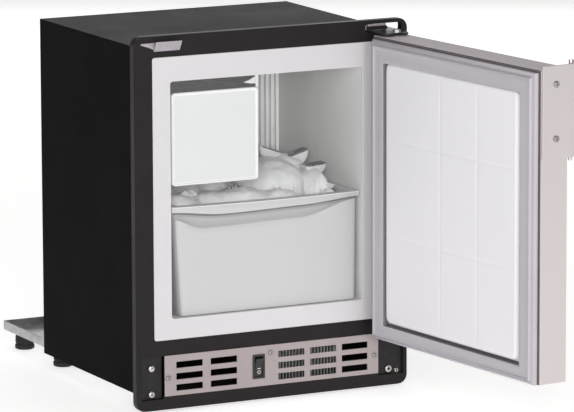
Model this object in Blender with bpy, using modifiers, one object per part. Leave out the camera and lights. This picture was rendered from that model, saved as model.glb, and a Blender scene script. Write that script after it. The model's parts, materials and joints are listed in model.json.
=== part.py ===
"""Compact built-in ice maker with its door open, modelled piece by piece.

Units are metres, +Z is up. The cabinet pieces are modelled in the frame of the
front flange: X across, Y from the front flange backwards, Z from the flange's
lower edge. The door pieces are modelled as if the door were closed and hang on
an empty that stands on the hinge axis and turns them open.
"""
import math

import bmesh
import bpy
from mathutils import Matrix, Vector

# ---------------------------------------------------------------- dimensions
# place of the flange frame in the world: the feet stand on Z = 0
FRAME_X = -0.0243
FRAME_Y = -0.0424
FRAME_Z = 0.0030
GAP = 0.0003

FLANGE_W = 0.380
FLANGE_H = 0.4702
FLANGE_T = 0.010
FLANGE_R = 0.012

SHELL_HALF = 0.177
SHELL_TOP = 0.4545
SHELL_BOTTOM = 0.0165
SHELL_BACK = 0.3119
SHEET = 0.0012

BREAKER_HALF = 0.1645
BREAKER_Z = (0.0878, 0.4431)
BREAKER_Y = (0.0004, 0.0036)

CAVITY_X = (-0.1401, 0.1266)
CAVITY_Z = (0.1140, 0.4120)
CAVITY_DEPTH = 0.2700
LINER_T = 0.0015
BOX_FLOOR = 0.0812

SLOT_X = (-0.1824, 0.1850)
SLOT_Z = (0.0166, 0.0690)
POCKET_Z = (0.0138, 0.0680)
GRILLE_X = (-0.1516, 0.1483)
GRILLE_Z = (0.0169, 0.0685)
SLOT_COLUMNS = (-0.1173, -0.0697, 0.0248, 0.0698, 0.1146)
SLOT_ROWS = (0.0268, 0.0410, 0.0556)
SLOT_SIZE = (0.0366, 0.0080)
SWITCH_X = (-0.0300, -0.0131)
SWITCH_Z = (0.0270, 0.0580)

PAN_HALF = 0.172
PAN_Y = (0.0168, 0.4550)
PAN_Z = (0.0215, 0.0335)
FOOT_R = 0.013
FOOT_X = 0.150
FOOT_Y = (0.050, 0.312, 0.436)

BIN_X = (-0.1370, 0.1222)
BIN_Y = (0.0060, 0.2620)
BIN_Z = (0.1150, 0.2535)
BIN_WALL = 0.0025
BIN_BOW = 0.0085

COVER_X = (-0.1357, -0.0161)
COVER_Z = (0.2795, 0.3965)
COVER_Y = (0.0060, 0.0155)
SHAFT_X = -0.0900
SHAFT_Z = 0.3450
MOULD_Y = (0.0450, 0.2350)
MOULD_CELLS = 8
TROUGH_R = 0.0205
ARM_X = -0.0550
ARM_Z = 0.3000

HINGE_X = 0.1580
HINGE_Y = -0.0330
DOOR_OPEN = math.radians(96.43)
DOOR_HALF = 0.1772
DOOR_Y = (-0.0512, -0.0104)
DOOR_Z = (0.0688, 0.4530)
GASKET_HALF = 0.1735
GASKET_Z = (0.0688, 0.4490)
GASKET_FRONT = -0.0020
PANEL_HALF = 0.1420
PANEL_Z = (0.0920, 0.4245)
PIN_R = 0.0030
HANDLE_Z = (0.3440, 0.4575)

COMPRESSOR_X = 0.045
COMPRESSOR_Y = 0.388
COMPRESSOR_R = 0.058
FAN_X = -0.083
FAN_Z = 0.0920
FAN_R = 0.0480

# ---------------------------------------------------------------- clean scene
for old in list(bpy.data.objects):
    bpy.data.objects.remove(old, do_unlink=True)

parts = bpy.data.collections.new("ice_maker")
cutters = bpy.data.collections.new("cutters")
bpy.context.scene.collection.children.link(parts)
bpy.context.scene.collection.children.link(cutters)


# ---------------------------------------------------------------- helpers
def make_empty(name, location, parent=None):
    empty = bpy.data.objects.new(name, None)
    empty.location = location
    empty.parent = parent
    parts.objects.link(empty)
    return empty


def material(name, colour, roughness, metallic=0.0, alpha=1.0):
    mat = bpy.data.materials.new(name)
    mat.use_nodes = True
    shader = mat.node_tree.nodes["Principled BSDF"]
    shader.inputs["Base Color"].default_value = (*colour, 1.0)
    shader.inputs["Roughness"].default_value = roughness
    shader.inputs["Metallic"].default_value = metallic
    shader.inputs["Alpha"].default_value = alpha
    return mat


def add_object(name, mesh, location, look, parent, cutter=False):
    obj = bpy.data.objects.new(name, mesh)
    obj.location = location
    obj.parent = parent
    if cutter:
        cutters.objects.link(obj)
        obj.hide_render = True
        obj.display_type = "WIRE"
    else:
        parts.objects.link(obj)
        mesh.materials.append(look)
    return obj


def mesh_from(bm, name):
    mesh = bpy.data.meshes.new(name)
    bm.to_mesh(mesh)
    bm.free()
    return mesh


def smooth(obj, angle=35):
    obj.data.shade_smooth()
    obj.data.set_sharp_from_angle(angle=math.radians(angle))
    return obj


def bevel(obj, width, segments=2, angle=30):
    mod = obj.modifiers.new("bevel", "BEVEL")
    mod.width = width
    mod.segments = segments
    mod.limit_method = "ANGLE"
    mod.angle_limit = math.radians(angle)
    return obj


def add_boxes(bm, boxes):
    """One closed box for each (x, y, z) triple of (low, high) pairs."""
    for x, y, z in boxes:
        made = bmesh.ops.create_cube(bm, size=1.0)
        size = Vector((x[1] - x[0], y[1] - y[0], z[1] - z[0]))
        middle = Vector((x[0] + x[1], y[0] + y[1], z[0] + z[1])) / 2
        bmesh.ops.scale(bm, vec=size, verts=made["verts"])
        bmesh.ops.translate(bm, vec=middle, verts=made["verts"])


def boxes(name, items, look=None, parent=None, cutter=False):
    """Several boxes in one object whose origin is the middle of the first."""
    first = items[0]
    middle = Vector([(pair[0] + pair[1]) / 2 for pair in first])
    bm = bmesh.new()
    add_boxes(bm, items)
    bmesh.ops.translate(bm, vec=-middle, verts=bm.verts)
    return add_object(name, mesh_from(bm, name), middle, look, parent, cutter)


def box(name, x, y, z, look=None, parent=None, cutter=False):
    return boxes(name, [(x, y, z)], look, parent, cutter)


TURN = {
    "X": Matrix.Rotation(math.pi / 2, 4, "Y"),
    "Y": Matrix.Rotation(-math.pi / 2, 4, "X"),
    "Z": Matrix.Identity(4),
    "-Y": Matrix.Rotation(math.pi / 2, 4, "X"),
    "-X": Matrix.Rotation(-math.pi / 2, 4, "Y"),
}


def add_rod(bm, start, axis, length, radius, top=None, segments=16):
    """A closed cylinder or cone from start along axis."""
    turn = TURN[axis]
    middle = Matrix.Translation(Vector(start)) @ turn @ Matrix.Translation((0, 0, length / 2))
    top = radius if top is None else top
    bmesh.ops.create_cone(
        bm, cap_ends=True, segments=segments, radius1=radius, radius2=top, depth=length, matrix=middle
    )


def rods(name, starts, axis, length, radius, look=None, parent=None, top=None, segments=16, cutter=False):
    """Equal cylinders in one object whose origin is the first one's start."""
    bm = bmesh.new()
    origin = Vector(starts[0])
    for start in starts:
        add_rod(bm, Vector(start) - origin, axis, length, radius, top, segments)
    obj = add_object(name, mesh_from(bm, name), origin, look, parent, cutter)
    return smooth(obj)


def screw(name, place, axis, radius, height, look=None, parent=None, segments=14, cutter=False):
    """A screw's pan head: a short cylinder that narrows to its top."""
    bm = bmesh.new()
    add_rod(bm, (0.0, 0.0, 0.0), axis, height, radius, radius * 0.72, segments)
    obj = add_object(name, mesh_from(bm, name), place, look, parent, cutter)
    return smooth(obj, 50)


def turned(name, centre, profile, look, parent, segments=24, cutter=False):
    """A profile of (radius, height) pairs, top to bottom, turned about Z."""
    bm = bmesh.new()
    verts = [bm.verts.new((radius, 0.0, height)) for radius, height in profile]
    for a, b in zip(verts, verts[1:]):
        bm.edges.new((a, b))
    obj = add_object(name, mesh_from(bm, name), centre, look, parent, cutter)
    mod = obj.modifiers.new("turn", "SCREW")
    mod.axis = "Z"
    mod.angle = 2 * math.pi
    mod.steps = segments
    mod.render_steps = segments
    mod.use_merge_vertices = True
    mod.merge_threshold = 0.00001
    mod.use_smooth_shade = True
    return obj


def rounded_rect(x, y, radius, steps=3):
    """Corner points of a rectangle with rounded corners, counter-clockwise."""
    points = []
    corners = (
        (x[1] - radius, y[1] - radius, 0.0),
        (x[0] + radius, y[1] - radius, 90.0),
        (x[0] + radius, y[0] + radius, 180.0),
        (x[1] - radius, y[0] + radius, 270.0),
    )
    for cx, cy, start in corners:
        for i in range(steps + 1):
            angle = math.radians(start + 90.0 * i / steps)
            points.append((cx + radius * math.cos(angle), cy + radius * math.sin(angle)))
    return points


def rect(x, y):
    return [(x[0], y[0]), (x[1], y[0]), (x[1], y[1]), (x[0], y[1])]


def circle(cx, cy, radius, steps=16):
    turn = 2 * math.pi / steps
    return [(cx + radius * math.cos(turn * i), cy + radius * math.sin(turn * i)) for i in range(steps)]


def outline_mesh(name, loops, thickness):
    """Mesh of a flat outline with holes, thickness along Z, centred on Z = 0."""
    curve = bpy.data.curves.new(name + "_outline", "CURVE")
    curve.dimensions = "2D"
    curve.fill_mode = "BOTH"
    curve.extrude = thickness / 2
    for loop in loops:
        spline = curve.splines.new("POLY")
        spline.points.add(len(loop) - 1)
        for point, (u, v) in zip(spline.points, loop):
            point.co = (u, v, 0.0, 1.0)
        spline.use_cyclic_u = True
    guide = bpy.data.objects.new(name + "_outline", curve)
    cutters.objects.link(guide)
    bpy.context.view_layer.update()
    evaluated = guide.evaluated_get(bpy.context.evaluated_depsgraph_get())
    mesh = bpy.data.meshes.new_from_object(evaluated)
    mesh.name = name
    bpy.data.objects.remove(guide, do_unlink=True)
    bpy.data.curves.remove(curve)
    bm = bmesh.new()
    bm.from_mesh(mesh)
    bmesh.ops.remove_doubles(bm, verts=bm.verts, dist=0.00001)
    bmesh.ops.recalc_face_normals(bm, faces=bm.faces)
    bm.to_mesh(mesh)
    bm.free()
    mesh.materials.clear()
    return mesh


def upright_plate(name, loops, y, look=None, parent=None, cutter=False):
    """A flat outline in X and Z, standing between two Y values."""
    mesh = outline_mesh(name, loops, y[1] - y[0])
    obj = add_object(name, mesh, (0.0, (y[0] + y[1]) / 2, 0.0), look, parent, cutter)
    obj.rotation_euler = (math.pi / 2, 0.0, 0.0)
    return obj


def level_plate(name, loops, z, look=None, parent=None, cutter=False):
    """A flat outline in X and Y, lying between two Z values."""
    mesh = outline_mesh(name, loops, z[1] - z[0])
    return add_object(name, mesh, (0.0, 0.0, (z[0] + z[1]) / 2), look, parent, cutter)


def bend(points, radius, steps=4):
    """The points of a path whose corners are rounded with arcs."""
    path = [Vector(points[0])]
    for before, corner, after in zip(points, points[1:], points[2:]):
        corner = Vector(corner)
        back = (Vector(before) - corner).normalized()
        ahead = (Vector(after) - corner).normalized()
        half = back.angle(ahead) / 2
        reach = radius / math.tan(half)
        centre = corner + (back + ahead).normalized() * (radius / math.sin(half))
        first = (corner + back * reach - centre).normalized()
        last = (corner + ahead * reach - centre).normalized()
        for i in range(steps + 1):
            path.append(centre + radius * first.slerp(last, i / steps))
    path.append(Vector(points[-1]))
    return path


def tube(name, points, radius, look, parent, resolution=2, cutter=False):
    """A round bar or pipe along a path, with closed ends."""
    curve = bpy.data.curves.new(name + "_path", "CURVE")
    curve.dimensions = "3D"
    curve.bevel_depth = radius
    curve.bevel_resolution = resolution
    curve.use_fill_caps = True
    spline = curve.splines.new("POLY")
    spline.points.add(len(points) - 1)
    origin = Vector(points[0])
    for point, place in zip(spline.points, points):
        point.co = (*(Vector(place) - origin), 1.0)
    guide = bpy.data.objects.new(name + "_path", curve)
    cutters.objects.link(guide)
    bpy.context.view_layer.update()
    evaluated = guide.evaluated_get(bpy.context.evaluated_depsgraph_get())
    mesh = bpy.data.meshes.new_from_object(evaluated)
    mesh.name = name
    bpy.data.objects.remove(guide, do_unlink=True)
    bpy.data.curves.remove(curve)
    bm = bmesh.new()
    bm.from_mesh(mesh)
    bmesh.ops.remove_doubles(bm, verts=bm.verts, dist=0.00001)
    bmesh.ops.recalc_face_normals(bm, faces=bm.faces)
    bm.to_mesh(mesh)
    bm.free()
    mesh.materials.clear()
    return smooth(add_object(name, mesh, origin, look, parent, cutter), 50)


def combine(obj, other, operation):
    mod = obj.modifiers.new(operation.lower(), "BOOLEAN")
    mod.operation = operation
    mod.solver = "EXACT"
    mod.object = other
    return obj


def cut(obj, *others):
    for other in others:
        combine(obj, other, "DIFFERENCE")
    return obj


def join(obj, *others):
    for other in others:
        combine(obj, other, "UNION")
    return obj


# ---------------------------------------------------------------- materials
black_paint = material("black_paint", (0.030, 0.029, 0.030), 0.55)
black_plastic = material("black_plastic", (0.020, 0.020, 0.021), 0.45)
dark_steel = material("dark_steel", (0.070, 0.070, 0.072), 0.45, 0.6)
dark_band = material("dark_band", (0.100, 0.100, 0.105), 0.5)
white_plastic = material("white_plastic", (0.80, 0.78, 0.79), 0.38)
liner_plastic = material("liner_plastic", (0.66, 0.66, 0.655), 0.40)
cover_plastic = material("cover_plastic", (0.84, 0.86, 0.85), 0.28)
panel_plastic = material("panel_plastic", (0.72, 0.73, 0.78), 0.42)
gasket_rubber = material("gasket_rubber", (0.45, 0.44, 0.49), 0.60)
bin_plastic = material("bin_plastic", (0.72, 0.73, 0.73), 0.32, 0.0, 0.85)
ice_look = material("ice", (0.78, 0.80, 0.80), 0.25, 0.0, 0.9)
foam_look = material("foam", (0.75, 0.66, 0.42), 0.9)
taupe_plate = material("taupe_plate", (0.46, 0.41, 0.40), 0.55)
stainless = material("stainless", (0.70, 0.67, 0.65), 0.32, 1.0)
zinc = material("zinc", (0.62, 0.61, 0.60), 0.38, 1.0)
galvanised = material("galvanised", (0.50, 0.51, 0.52), 0.48, 0.9)
aluminium = material("aluminium", (0.66, 0.67, 0.68), 0.35, 1.0)
copper = material("copper", (0.72, 0.38, 0.24), 0.34, 1.0)
rubber = material("rubber", (0.018, 0.018, 0.018), 0.8)
compressor_paint = material("compressor_paint", (0.015, 0.015, 0.016), 0.4)

cabinet = make_empty("cabinet_frame", (FRAME_X, FRAME_Y, FRAME_Z))
door = make_empty("door_axis", (HINGE_X, HINGE_Y, 0.0), cabinet)
door.rotation_euler = (0.0, 0.0, DOOR_OPEN)
# closed-door coordinates are the flange frame's, so the door pieces hang on an
# empty that takes the hinge's place back out
closed = make_empty("door_closed_frame", (-HINGE_X, -HINGE_Y, 0.0), door)


# ---------------------------------------------------------------- cabinet
def build_cabinet():
    shell = box(
        "cabinet_shell",
        (-SHELL_HALF, SHELL_HALF), (FLANGE_T + GAP, SHELL_BACK), (SHELL_BOTTOM, SHELL_TOP),
        black_paint, cabinet,
    )
    inside = SHELL_HALF - SHEET
    cut(shell, box(
        "shell_cutter", (-inside, inside), (-0.1, 0.5), (-0.1, SHELL_TOP - SHEET),
        parent=cabinet, cutter=True,
    ))
    inner = inside - GAP
    join(shell, box(
        "shell_floor", (-inside - 0.0006, inside + 0.0006), (0.0106, 0.3100), (BOX_FLOOR, BOX_FLOOR + SHEET),
        parent=cabinet, cutter=True,
    ))

    pipe_holes = [
        rods("fill_tube_cutter", [(SHAFT_X, 0.255, 0.381)], "Y", 0.10, 0.0053, parent=cabinet, cutter=True),
        rods("suction_cutter", [(0.045, 0.2845, 0.240)], "Y", 0.06, 0.0043, parent=cabinet, cutter=True),
        rods("liquid_cutter", [(0.140, 0.2845, 0.200)], "Y", 0.06, 0.0027, parent=cabinet, cutter=True, segments=12),
    ]
    back = box(
        "rear_panel", (-inner, inner), (0.3107, 0.3117), (BOX_FLOOR + SHEET + GAP, SHELL_TOP - SHEET - GAP),
        galvanised, cabinet,
    )
    cut(back, *pipe_holes)

    foam = box(
        "insulation_foam", (-inner, inner), (0.0106, 0.3104),
        (BOX_FLOOR + SHEET + GAP, SHELL_TOP - SHEET - GAP), foam_look, cabinet,
    )
    join(foam, box(
        "foam_front", (-BREAKER_HALF + 0.0020, BREAKER_HALF - 0.0020), (BREAKER_Y[1] + GAP, 0.0200),
        (BREAKER_Z[0] + 0.0020, BREAKER_Z[1] - 0.0020), parent=cabinet, cutter=True,
    ))
    t = LINER_T
    x = (CAVITY_X[0] - t, CAVITY_X[1] + t)
    z = (CAVITY_Z[0] - t, CAVITY_Z[1] + t)
    cut(foam, box(
        "foam_cutter", (x[0] - GAP, x[1] + GAP), (-0.1, CAVITY_DEPTH + t + GAP), (z[0] - GAP, z[1] + GAP),
        parent=cabinet, cutter=True,
    ))
    cut(foam, *pipe_holes)

    liner = box("liner", x, (BREAKER_Y[1] + GAP, CAVITY_DEPTH + t), z, liner_plastic, cabinet)
    cut(liner, box(
        "cavity_cutter", CAVITY_X, (-0.1, CAVITY_DEPTH), CAVITY_Z, parent=cabinet, cutter=True,
    ))
    cut(liner, pipe_holes[0])

    upright_plate(
        "breaker_frame",
        [
            rounded_rect((-BREAKER_HALF, BREAKER_HALF), BREAKER_Z, 0.003),
            rounded_rect(CAVITY_X, CAVITY_Z, 0.0035),
        ],
        BREAKER_Y, white_plastic, cabinet,
    )

    # the opening for the grille, a little deeper where the two hinge plates sit
    left, right = SLOT_X
    lower = [
        (left, POCKET_Z[0]), (-0.1530, POCKET_Z[0]), (-0.1530, SLOT_Z[0]), (0.1490, SLOT_Z[0]),
        (0.1490, POCKET_Z[0]), (right, POCKET_Z[0]), (right, SLOT_Z[1]), (-0.1530, SLOT_Z[1]),
        (-0.1530, POCKET_Z[1]), (left, POCKET_Z[1]),
    ]
    flange = upright_plate(
        "front_flange",
        [
            rounded_rect((-FLANGE_W / 2, FLANGE_W / 2), (0.0, FLANGE_H), FLANGE_R, 5),
            rounded_rect(
                (-BREAKER_HALF - GAP, BREAKER_HALF + GAP), (BREAKER_Z[0] - GAP, BREAKER_Z[1] + GAP), 0.0033
            ),
            lower,
            rounded_rect((0.1310, 0.1820), (SHELL_TOP, 0.4652), 0.003),
        ],
        (0.0, FLANGE_T), black_paint, cabinet,
    )
    bevel(flange, 0.0012, 2, 60)

    pan = box("base_pan", (-PAN_HALF, PAN_HALF), PAN_Y, PAN_Z, galvanised, cabinet)
    t = SHEET
    cut(pan, box(
        "pan_cutter", (-PAN_HALF + t, PAN_HALF - t), (PAN_Y[0] + t, PAN_Y[1] - t), (PAN_Z[0] + t, 0.2),
        parent=cabinet, cutter=True,
    ))
    for row, y in zip(("front", "middle", "rear"), FOOT_Y):
        for side, x in (("left", -FOOT_X), ("right", FOOT_X)):
            rods(
                f"foot_{row}_{side}", [(x, y, -FRAME_Z)], "Z", PAN_Z[0] - GAP + FRAME_Z, 0.0115,
                rubber, cabinet, top=FOOT_R, segments=20,
            )


# ---------------------------------------------------------------- front fittings
def build_front():
    y = (-0.0012, 0.0004)
    slots = [
        rect((cx - SLOT_SIZE[0] / 2, cx + SLOT_SIZE[0] / 2), (cz - SLOT_SIZE[1] / 2, cz + SLOT_SIZE[1] / 2))
        for cx in SLOT_COLUMNS
        for cz in SLOT_ROWS
    ]
    switch_hole = rect((SWITCH_X[0] + 0.0015, SWITCH_X[1] - 0.0015), (SWITCH_Z[0] + 0.0015, SWITCH_Z[1] - 0.0015))
    upright_plate("grille_plate", [rect(GRILLE_X, GRILLE_Z), *slots, switch_hole], y, taupe_plate, cabinet)
    for side, x, z in (("left", -0.1466, 0.0397), ("middle", -0.0045, 0.0585), ("right", 0.1425, 0.0404)):
        screw(f"grille_screw_{side}", (x, y[0] - GAP, z), "-Y", 0.0036, 0.0018, zinc, cabinet)

    # rocker switch: a bezel with a body behind the plate, and the rocker in it
    housing = boxes(
        "switch_housing",
        [(SWITCH_X, (y[0] - GAP - 0.0016, y[0] - GAP), SWITCH_Z)],
        black_plastic, cabinet,
    )
    join(housing, box(
        "switch_body", (SWITCH_X[0] + 0.0018, SWITCH_X[1] - 0.0018), (-0.0020, 0.0160),
        (SWITCH_Z[0] + 0.0018, SWITCH_Z[1] - 0.0018), parent=cabinet, cutter=True,
    ))
    cut(housing, box(
        "switch_well", (SWITCH_X[0] + 0.0030, SWITCH_X[1] - 0.0030), (-0.02, 0.0105),
        (SWITCH_Z[0] + 0.0030, SWITCH_Z[1] - 0.0030), parent=cabinet, cutter=True,
    ))
    pivot_z = (SWITCH_Z[0] + SWITCH_Z[1]) / 2
    half = 0.0117
    # a shallow V seen from the side, tipped to its "on" side
    profile = [
        (-0.0058, half), (-0.0036, 0.0), (-0.0058, -half), (0.0030, -half * 0.86),
        (0.0060, -0.0040), (0.0060, 0.0040), (0.0030, half * 0.86),
    ]
    mesh = outline_mesh("rocker", [profile], SWITCH_X[1] - SWITCH_X[0] - 0.0068)
    middle = (SWITCH_X[0] + SWITCH_X[1]) / 2
    rocker = add_object("rocker", mesh, (middle, 0.0015, pivot_z), black_plastic, cabinet)
    # the outline's first axis becomes Y and its second Z, tipped by 7 degrees about X
    flat = Matrix(((0, 0, 1, 0), (1, 0, 0, 0), (0, 1, 0, 0), (0, 0, 0, 1)))
    mesh.transform(flat)
    rocker.rotation_euler = (math.radians(7.0), 0.0, 0.0)

    # plates behind the two lower corners of the flange
    plate_y = (0.0040, 0.0065)
    upright_plate("hinge_blank", [rounded_rect((-0.1821, -0.1533), (0.0141, 0.0677), 0.002)], plate_y,
                  dark_steel, cabinet)
    lower = upright_plate(
        "lower_hinge_bracket", [rounded_rect((0.1495, 0.1845), (0.0142, 0.0668), 0.002)], plate_y,
        dark_steel, cabinet,
    )
    ear = [(0.1495, 0.0065), (0.1495, -0.0300), (0.1530, -0.0420), (0.1580, -0.0445), (0.1640, -0.0420),
           (0.1700, -0.0300), (0.1740, 0.0065)]
    join(lower, level_plate("lower_ear", [ear], (0.0645, 0.0668), parent=cabinet, cutter=True))
    for place, z in (("upper", 0.0534), ("lower", 0.0205)):
        screw(f"blank_screw_{place}", (-0.1680, plate_y[0] - GAP, z), "-Y", 0.0047, 0.0030, zinc, cabinet)
    # the lower pin and the rivet heads are fixed in the bracket
    join(
        lower,
        rods("lower_hinge_pin", [(HINGE_X, HINGE_Y, 0.0620)], "Z", 0.0220, PIN_R, parent=cabinet, cutter=True),
        screw("lower_rivet", (0.1642, plate_y[0] + 0.0005, 0.0207), "-Y", 0.0047, 0.0035, parent=cabinet, cutter=True),
        screw("small_rivet", (0.1762, plate_y[0] + 0.0005, 0.0175), "-Y", 0.0028, 0.0025, parent=cabinet, cutter=True),
    )

    # upper hinge: a strap on the cabinet's top that reaches through the flange
    strap = rounded_rect((0.1345, 0.1745), (-0.0405, 0.0420), 0.010, 5)
    holes = [circle(HINGE_X, HINGE_Y, PIN_R + GAP, 12)]
    upper = level_plate("upper_hinge_bracket", [strap, *holes], (SHELL_TOP + GAP, SHELL_TOP + GAP + 0.0024),
                        dark_steel, cabinet)
    strap_top = SHELL_TOP + GAP + 0.0024
    for x, y in ((0.1445, 0.0160), (0.1665, 0.0160), (0.1555, 0.0330)):
        join(upper, screw("strap_rivet", (x, y, strap_top - 0.0006), "Z", 0.0042, 0.0028, parent=cabinet, cutter=True))
    box("hinge_clamp_strip", (0.1335, 0.1600), (-0.0005, 0.0020), (strap_top + GAP, 0.4648), zinc, cabinet)
    pin = rods("upper_hinge_pin", [(HINGE_X, HINGE_Y, 0.4370)], "Z", strap_top + 0.0008 - 0.4370, PIN_R, zinc, cabinet)
    join(pin, rods("upper_pin_head", [(HINGE_X, HINGE_Y, strap_top + GAP)], "Z", 0.0038, 0.0055,
                   parent=cabinet, top=0.0048, segments=6, cutter=True))
    washer = [circle(HINGE_X, HINGE_Y, 0.0085, 24), circle(HINGE_X, HINGE_Y, PIN_R + GAP, 12)]
    level_plate("upper_hinge_washer", washer, (0.4533, 0.4545), zinc, cabinet)

    # latch strike: a strip folded to a V on the flange's upper left, with a tongue beside it
    side = [(-0.0003, 0.4622), (-0.0014, 0.4622), (-0.0014, 0.4542), (-0.0079, 0.4638), (-0.0092, 0.4638),
            (-0.0092, 0.4628), (-0.0019, 0.4512), (-0.0003, 0.4512)]
    mesh = outline_mesh("latch_strike", [side], 0.0350)
    mesh.transform(Matrix(((0, 0, 1, 0), (1, 0, 0, 0), (0, 1, 0, 0), (0, 0, 0, 1))))
    strike = add_object("latch_strike", mesh, (-0.1455, 0.0, 0.0), zinc, cabinet)
    tongue = [(-0.1570, 0.4622), (-0.1570, 0.4518), (-0.1640, 0.4540), (-0.1700, 0.4566), (-0.1805, 0.4600),
              (-0.1805, 0.4618)]
    join(strike, upright_plate("strike_tongue", [tongue], (-0.0014, -0.0005), parent=cabinet, cutter=True))


# ---------------------------------------------------------------- ice mechanism
def build_icemaker():
    cover = box("icemaker_cover", COVER_X, COVER_Y, COVER_Z, cover_plastic, cabinet)
    bevel(cover, 0.0035, 2)
    cut(cover, box(
        "cover_cutter", (COVER_X[0] + 0.002, COVER_X[1] - 0.002), (COVER_Y[0] + 0.0022, 0.1),
        (COVER_Z[0] + 0.002, COVER_Z[1] - 0.002), parent=cabinet, cutter=True,
    ))
    # the housing behind the cover, open to the front
    housing_y = (COVER_Y[1] + GAP, 0.0440)
    housing = box(
        "icemaker_housing", (COVER_X[0] + 0.0012, COVER_X[1] - 0.0012), housing_y,
        (COVER_Z[0] + 0.0012, COVER_Z[1] - 0.0012), liner_plastic, cabinet,
    )
    cut(housing, box(
        "housing_cutter", (COVER_X[0] + 0.0032, COVER_X[1] - 0.0032), (0.0, housing_y[1] - 0.002),
        (COVER_Z[0] + 0.0032, COVER_Z[1] - 0.0032), parent=cabinet, cutter=True,
    ))
    shaft_hole = rods("shaft_hole", [(SHAFT_X, 0.02, SHAFT_Z)], "Y", 0.24, 0.0038, parent=cabinet, cutter=True)
    cut(housing, shaft_hole)
    cut(housing, rods("arm_hole", [(ARM_X, 0.035, ARM_Z)], "Y", 0.02, 0.0018, parent=cabinet, cutter=True, segments=12))
    # band that closes the gap between the housing and the ceiling
    box("icemaker_top_band", (-0.1385, -0.0185), (0.0060, 0.0440), (COVER_Z[1] + GAP, CAVITY_Z[1] - GAP),
        dark_band, cabinet)

    mould = box(
        "ice_mould", (SHAFT_X - 0.0255, SHAFT_X + 0.0255), MOULD_Y, (0.3190, SHAFT_Z + 0.0020), aluminium, cabinet
    )
    pitch = (MOULD_Y[1] - MOULD_Y[0] - 0.0060) / MOULD_CELLS
    cells = [(SHAFT_X, MOULD_Y[0] + 0.0042 + pitch * i, SHAFT_Z) for i in range(MOULD_CELLS)]
    cut(mould, rods("mould_cells", cells, "Y", pitch - 0.0024, TROUGH_R, parent=cabinet, segments=14, cutter=True))
    cut(mould, rods("mould_bearing", [(SHAFT_X, 0.02, SHAFT_Z)], "Y", 0.24, 0.0042, parent=cabinet, cutter=True))

    # ejector: a shaft with one blade for each cell
    shaft = rods("ejector_shaft", [(SHAFT_X, 0.0270, SHAFT_Z)], "Y", 0.2060, 0.0033, white_plastic, cabinet)
    blades = []
    for _, y, _ in cells:
        middle = y + (pitch - 0.0024) / 2
        blades.append(((SHAFT_X - 0.0185, SHAFT_X), (middle - 0.002, middle + 0.002), (SHAFT_Z - 0.0016, SHAFT_Z + 0.0016)))
    join(shaft, boxes("ejector_blades", blades, parent=cabinet, cutter=True))

    # stripper comb beside the shaft, its teeth between the blades
    base = SHAFT_X + 0.0210
    edge = SHAFT_X + 0.0340
    comb = [(edge, MOULD_Y[0] + 0.001), (edge, MOULD_Y[1] - 0.001)]
    for _, y, _ in reversed(cells):
        middle = y + (pitch - 0.0024) / 2
        high = middle + pitch / 2 - 0.001 if y != cells[-1][1] else MOULD_Y[1] - 0.001
        comb += [(SHAFT_X + 0.0042, high), (SHAFT_X + 0.0042, middle + 0.0045), (base, middle + 0.0045),
                 (base, middle - 0.0045)]
        low = middle - pitch / 2 + 0.001 if y != cells[0][1] else MOULD_Y[0] + 0.001
        comb += [(SHAFT_X + 0.0042, middle - 0.0045), (SHAFT_X + 0.0042, low)]
        if y != cells[0][1]:
            comb += [(SHAFT_X + 0.0140, low), (SHAFT_X + 0.0140, low - 0.002)]
    level_plate("stripper", [comb], (SHAFT_Z + 0.0023, SHAFT_Z + 0.0043), white_plastic, cabinet)

    arm = [
        (ARM_X, 0.0410, ARM_Z), (ARM_X, 0.0490, ARM_Z), (ARM_X + 0.0385, 0.0490, ARM_Z),
        (ARM_X + 0.0385, 0.2120, ARM_Z), (ARM_X, 0.2120, ARM_Z), (ARM_X, 0.2200, ARM_Z),
    ]
    tube("shutoff_arm", bend(arm, 0.0035, 3), 0.0014, zinc, cabinet)

    cup = box("fill_cup", (SHAFT_X - 0.012, SHAFT_X + 0.012), (MOULD_Y[1] + GAP, 0.2600), (0.3330, 0.3720),
              white_plastic, cabinet)
    cut(cup, box("cup_cutter", (SHAFT_X - 0.010, SHAFT_X + 0.010), (MOULD_Y[1] + 0.0023, 0.2580), (0.3350, 0.4),
                 parent=cabinet, cutter=True))

    # fluted cover over the evaporator, open behind, in the rear of the box
    x = (-0.0100, CAVITY_X[1] - 0.0004)
    y = (0.2265, CAVITY_DEPTH - GAP)
    count = 22
    pitch = (x[1] - x[0] - 0.004) / count
    front = []
    for i in range(count):
        start = x[0] + 0.002 + pitch * i
        front += [(start, y[0]), (start + pitch * 0.22, y[0] - 0.0022), (start + pitch * 0.62, y[0] - 0.0022),
                  (start + pitch * 0.84, y[0])]
    loop = [(x[0], y[1]), (x[0], y[0]), *front, (x[1], y[0]), (x[1], y[1]), (x[1] - 0.002, y[1]),
            (x[1] - 0.002, y[0] + 0.002), (x[0] + 0.002, y[0] + 0.002), (x[0] + 0.002, y[1])]
    level_plate("evaporator_cover", [loop], (0.2680, CAVITY_Z[1] - GAP), liner_plastic, cabinet)


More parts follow.
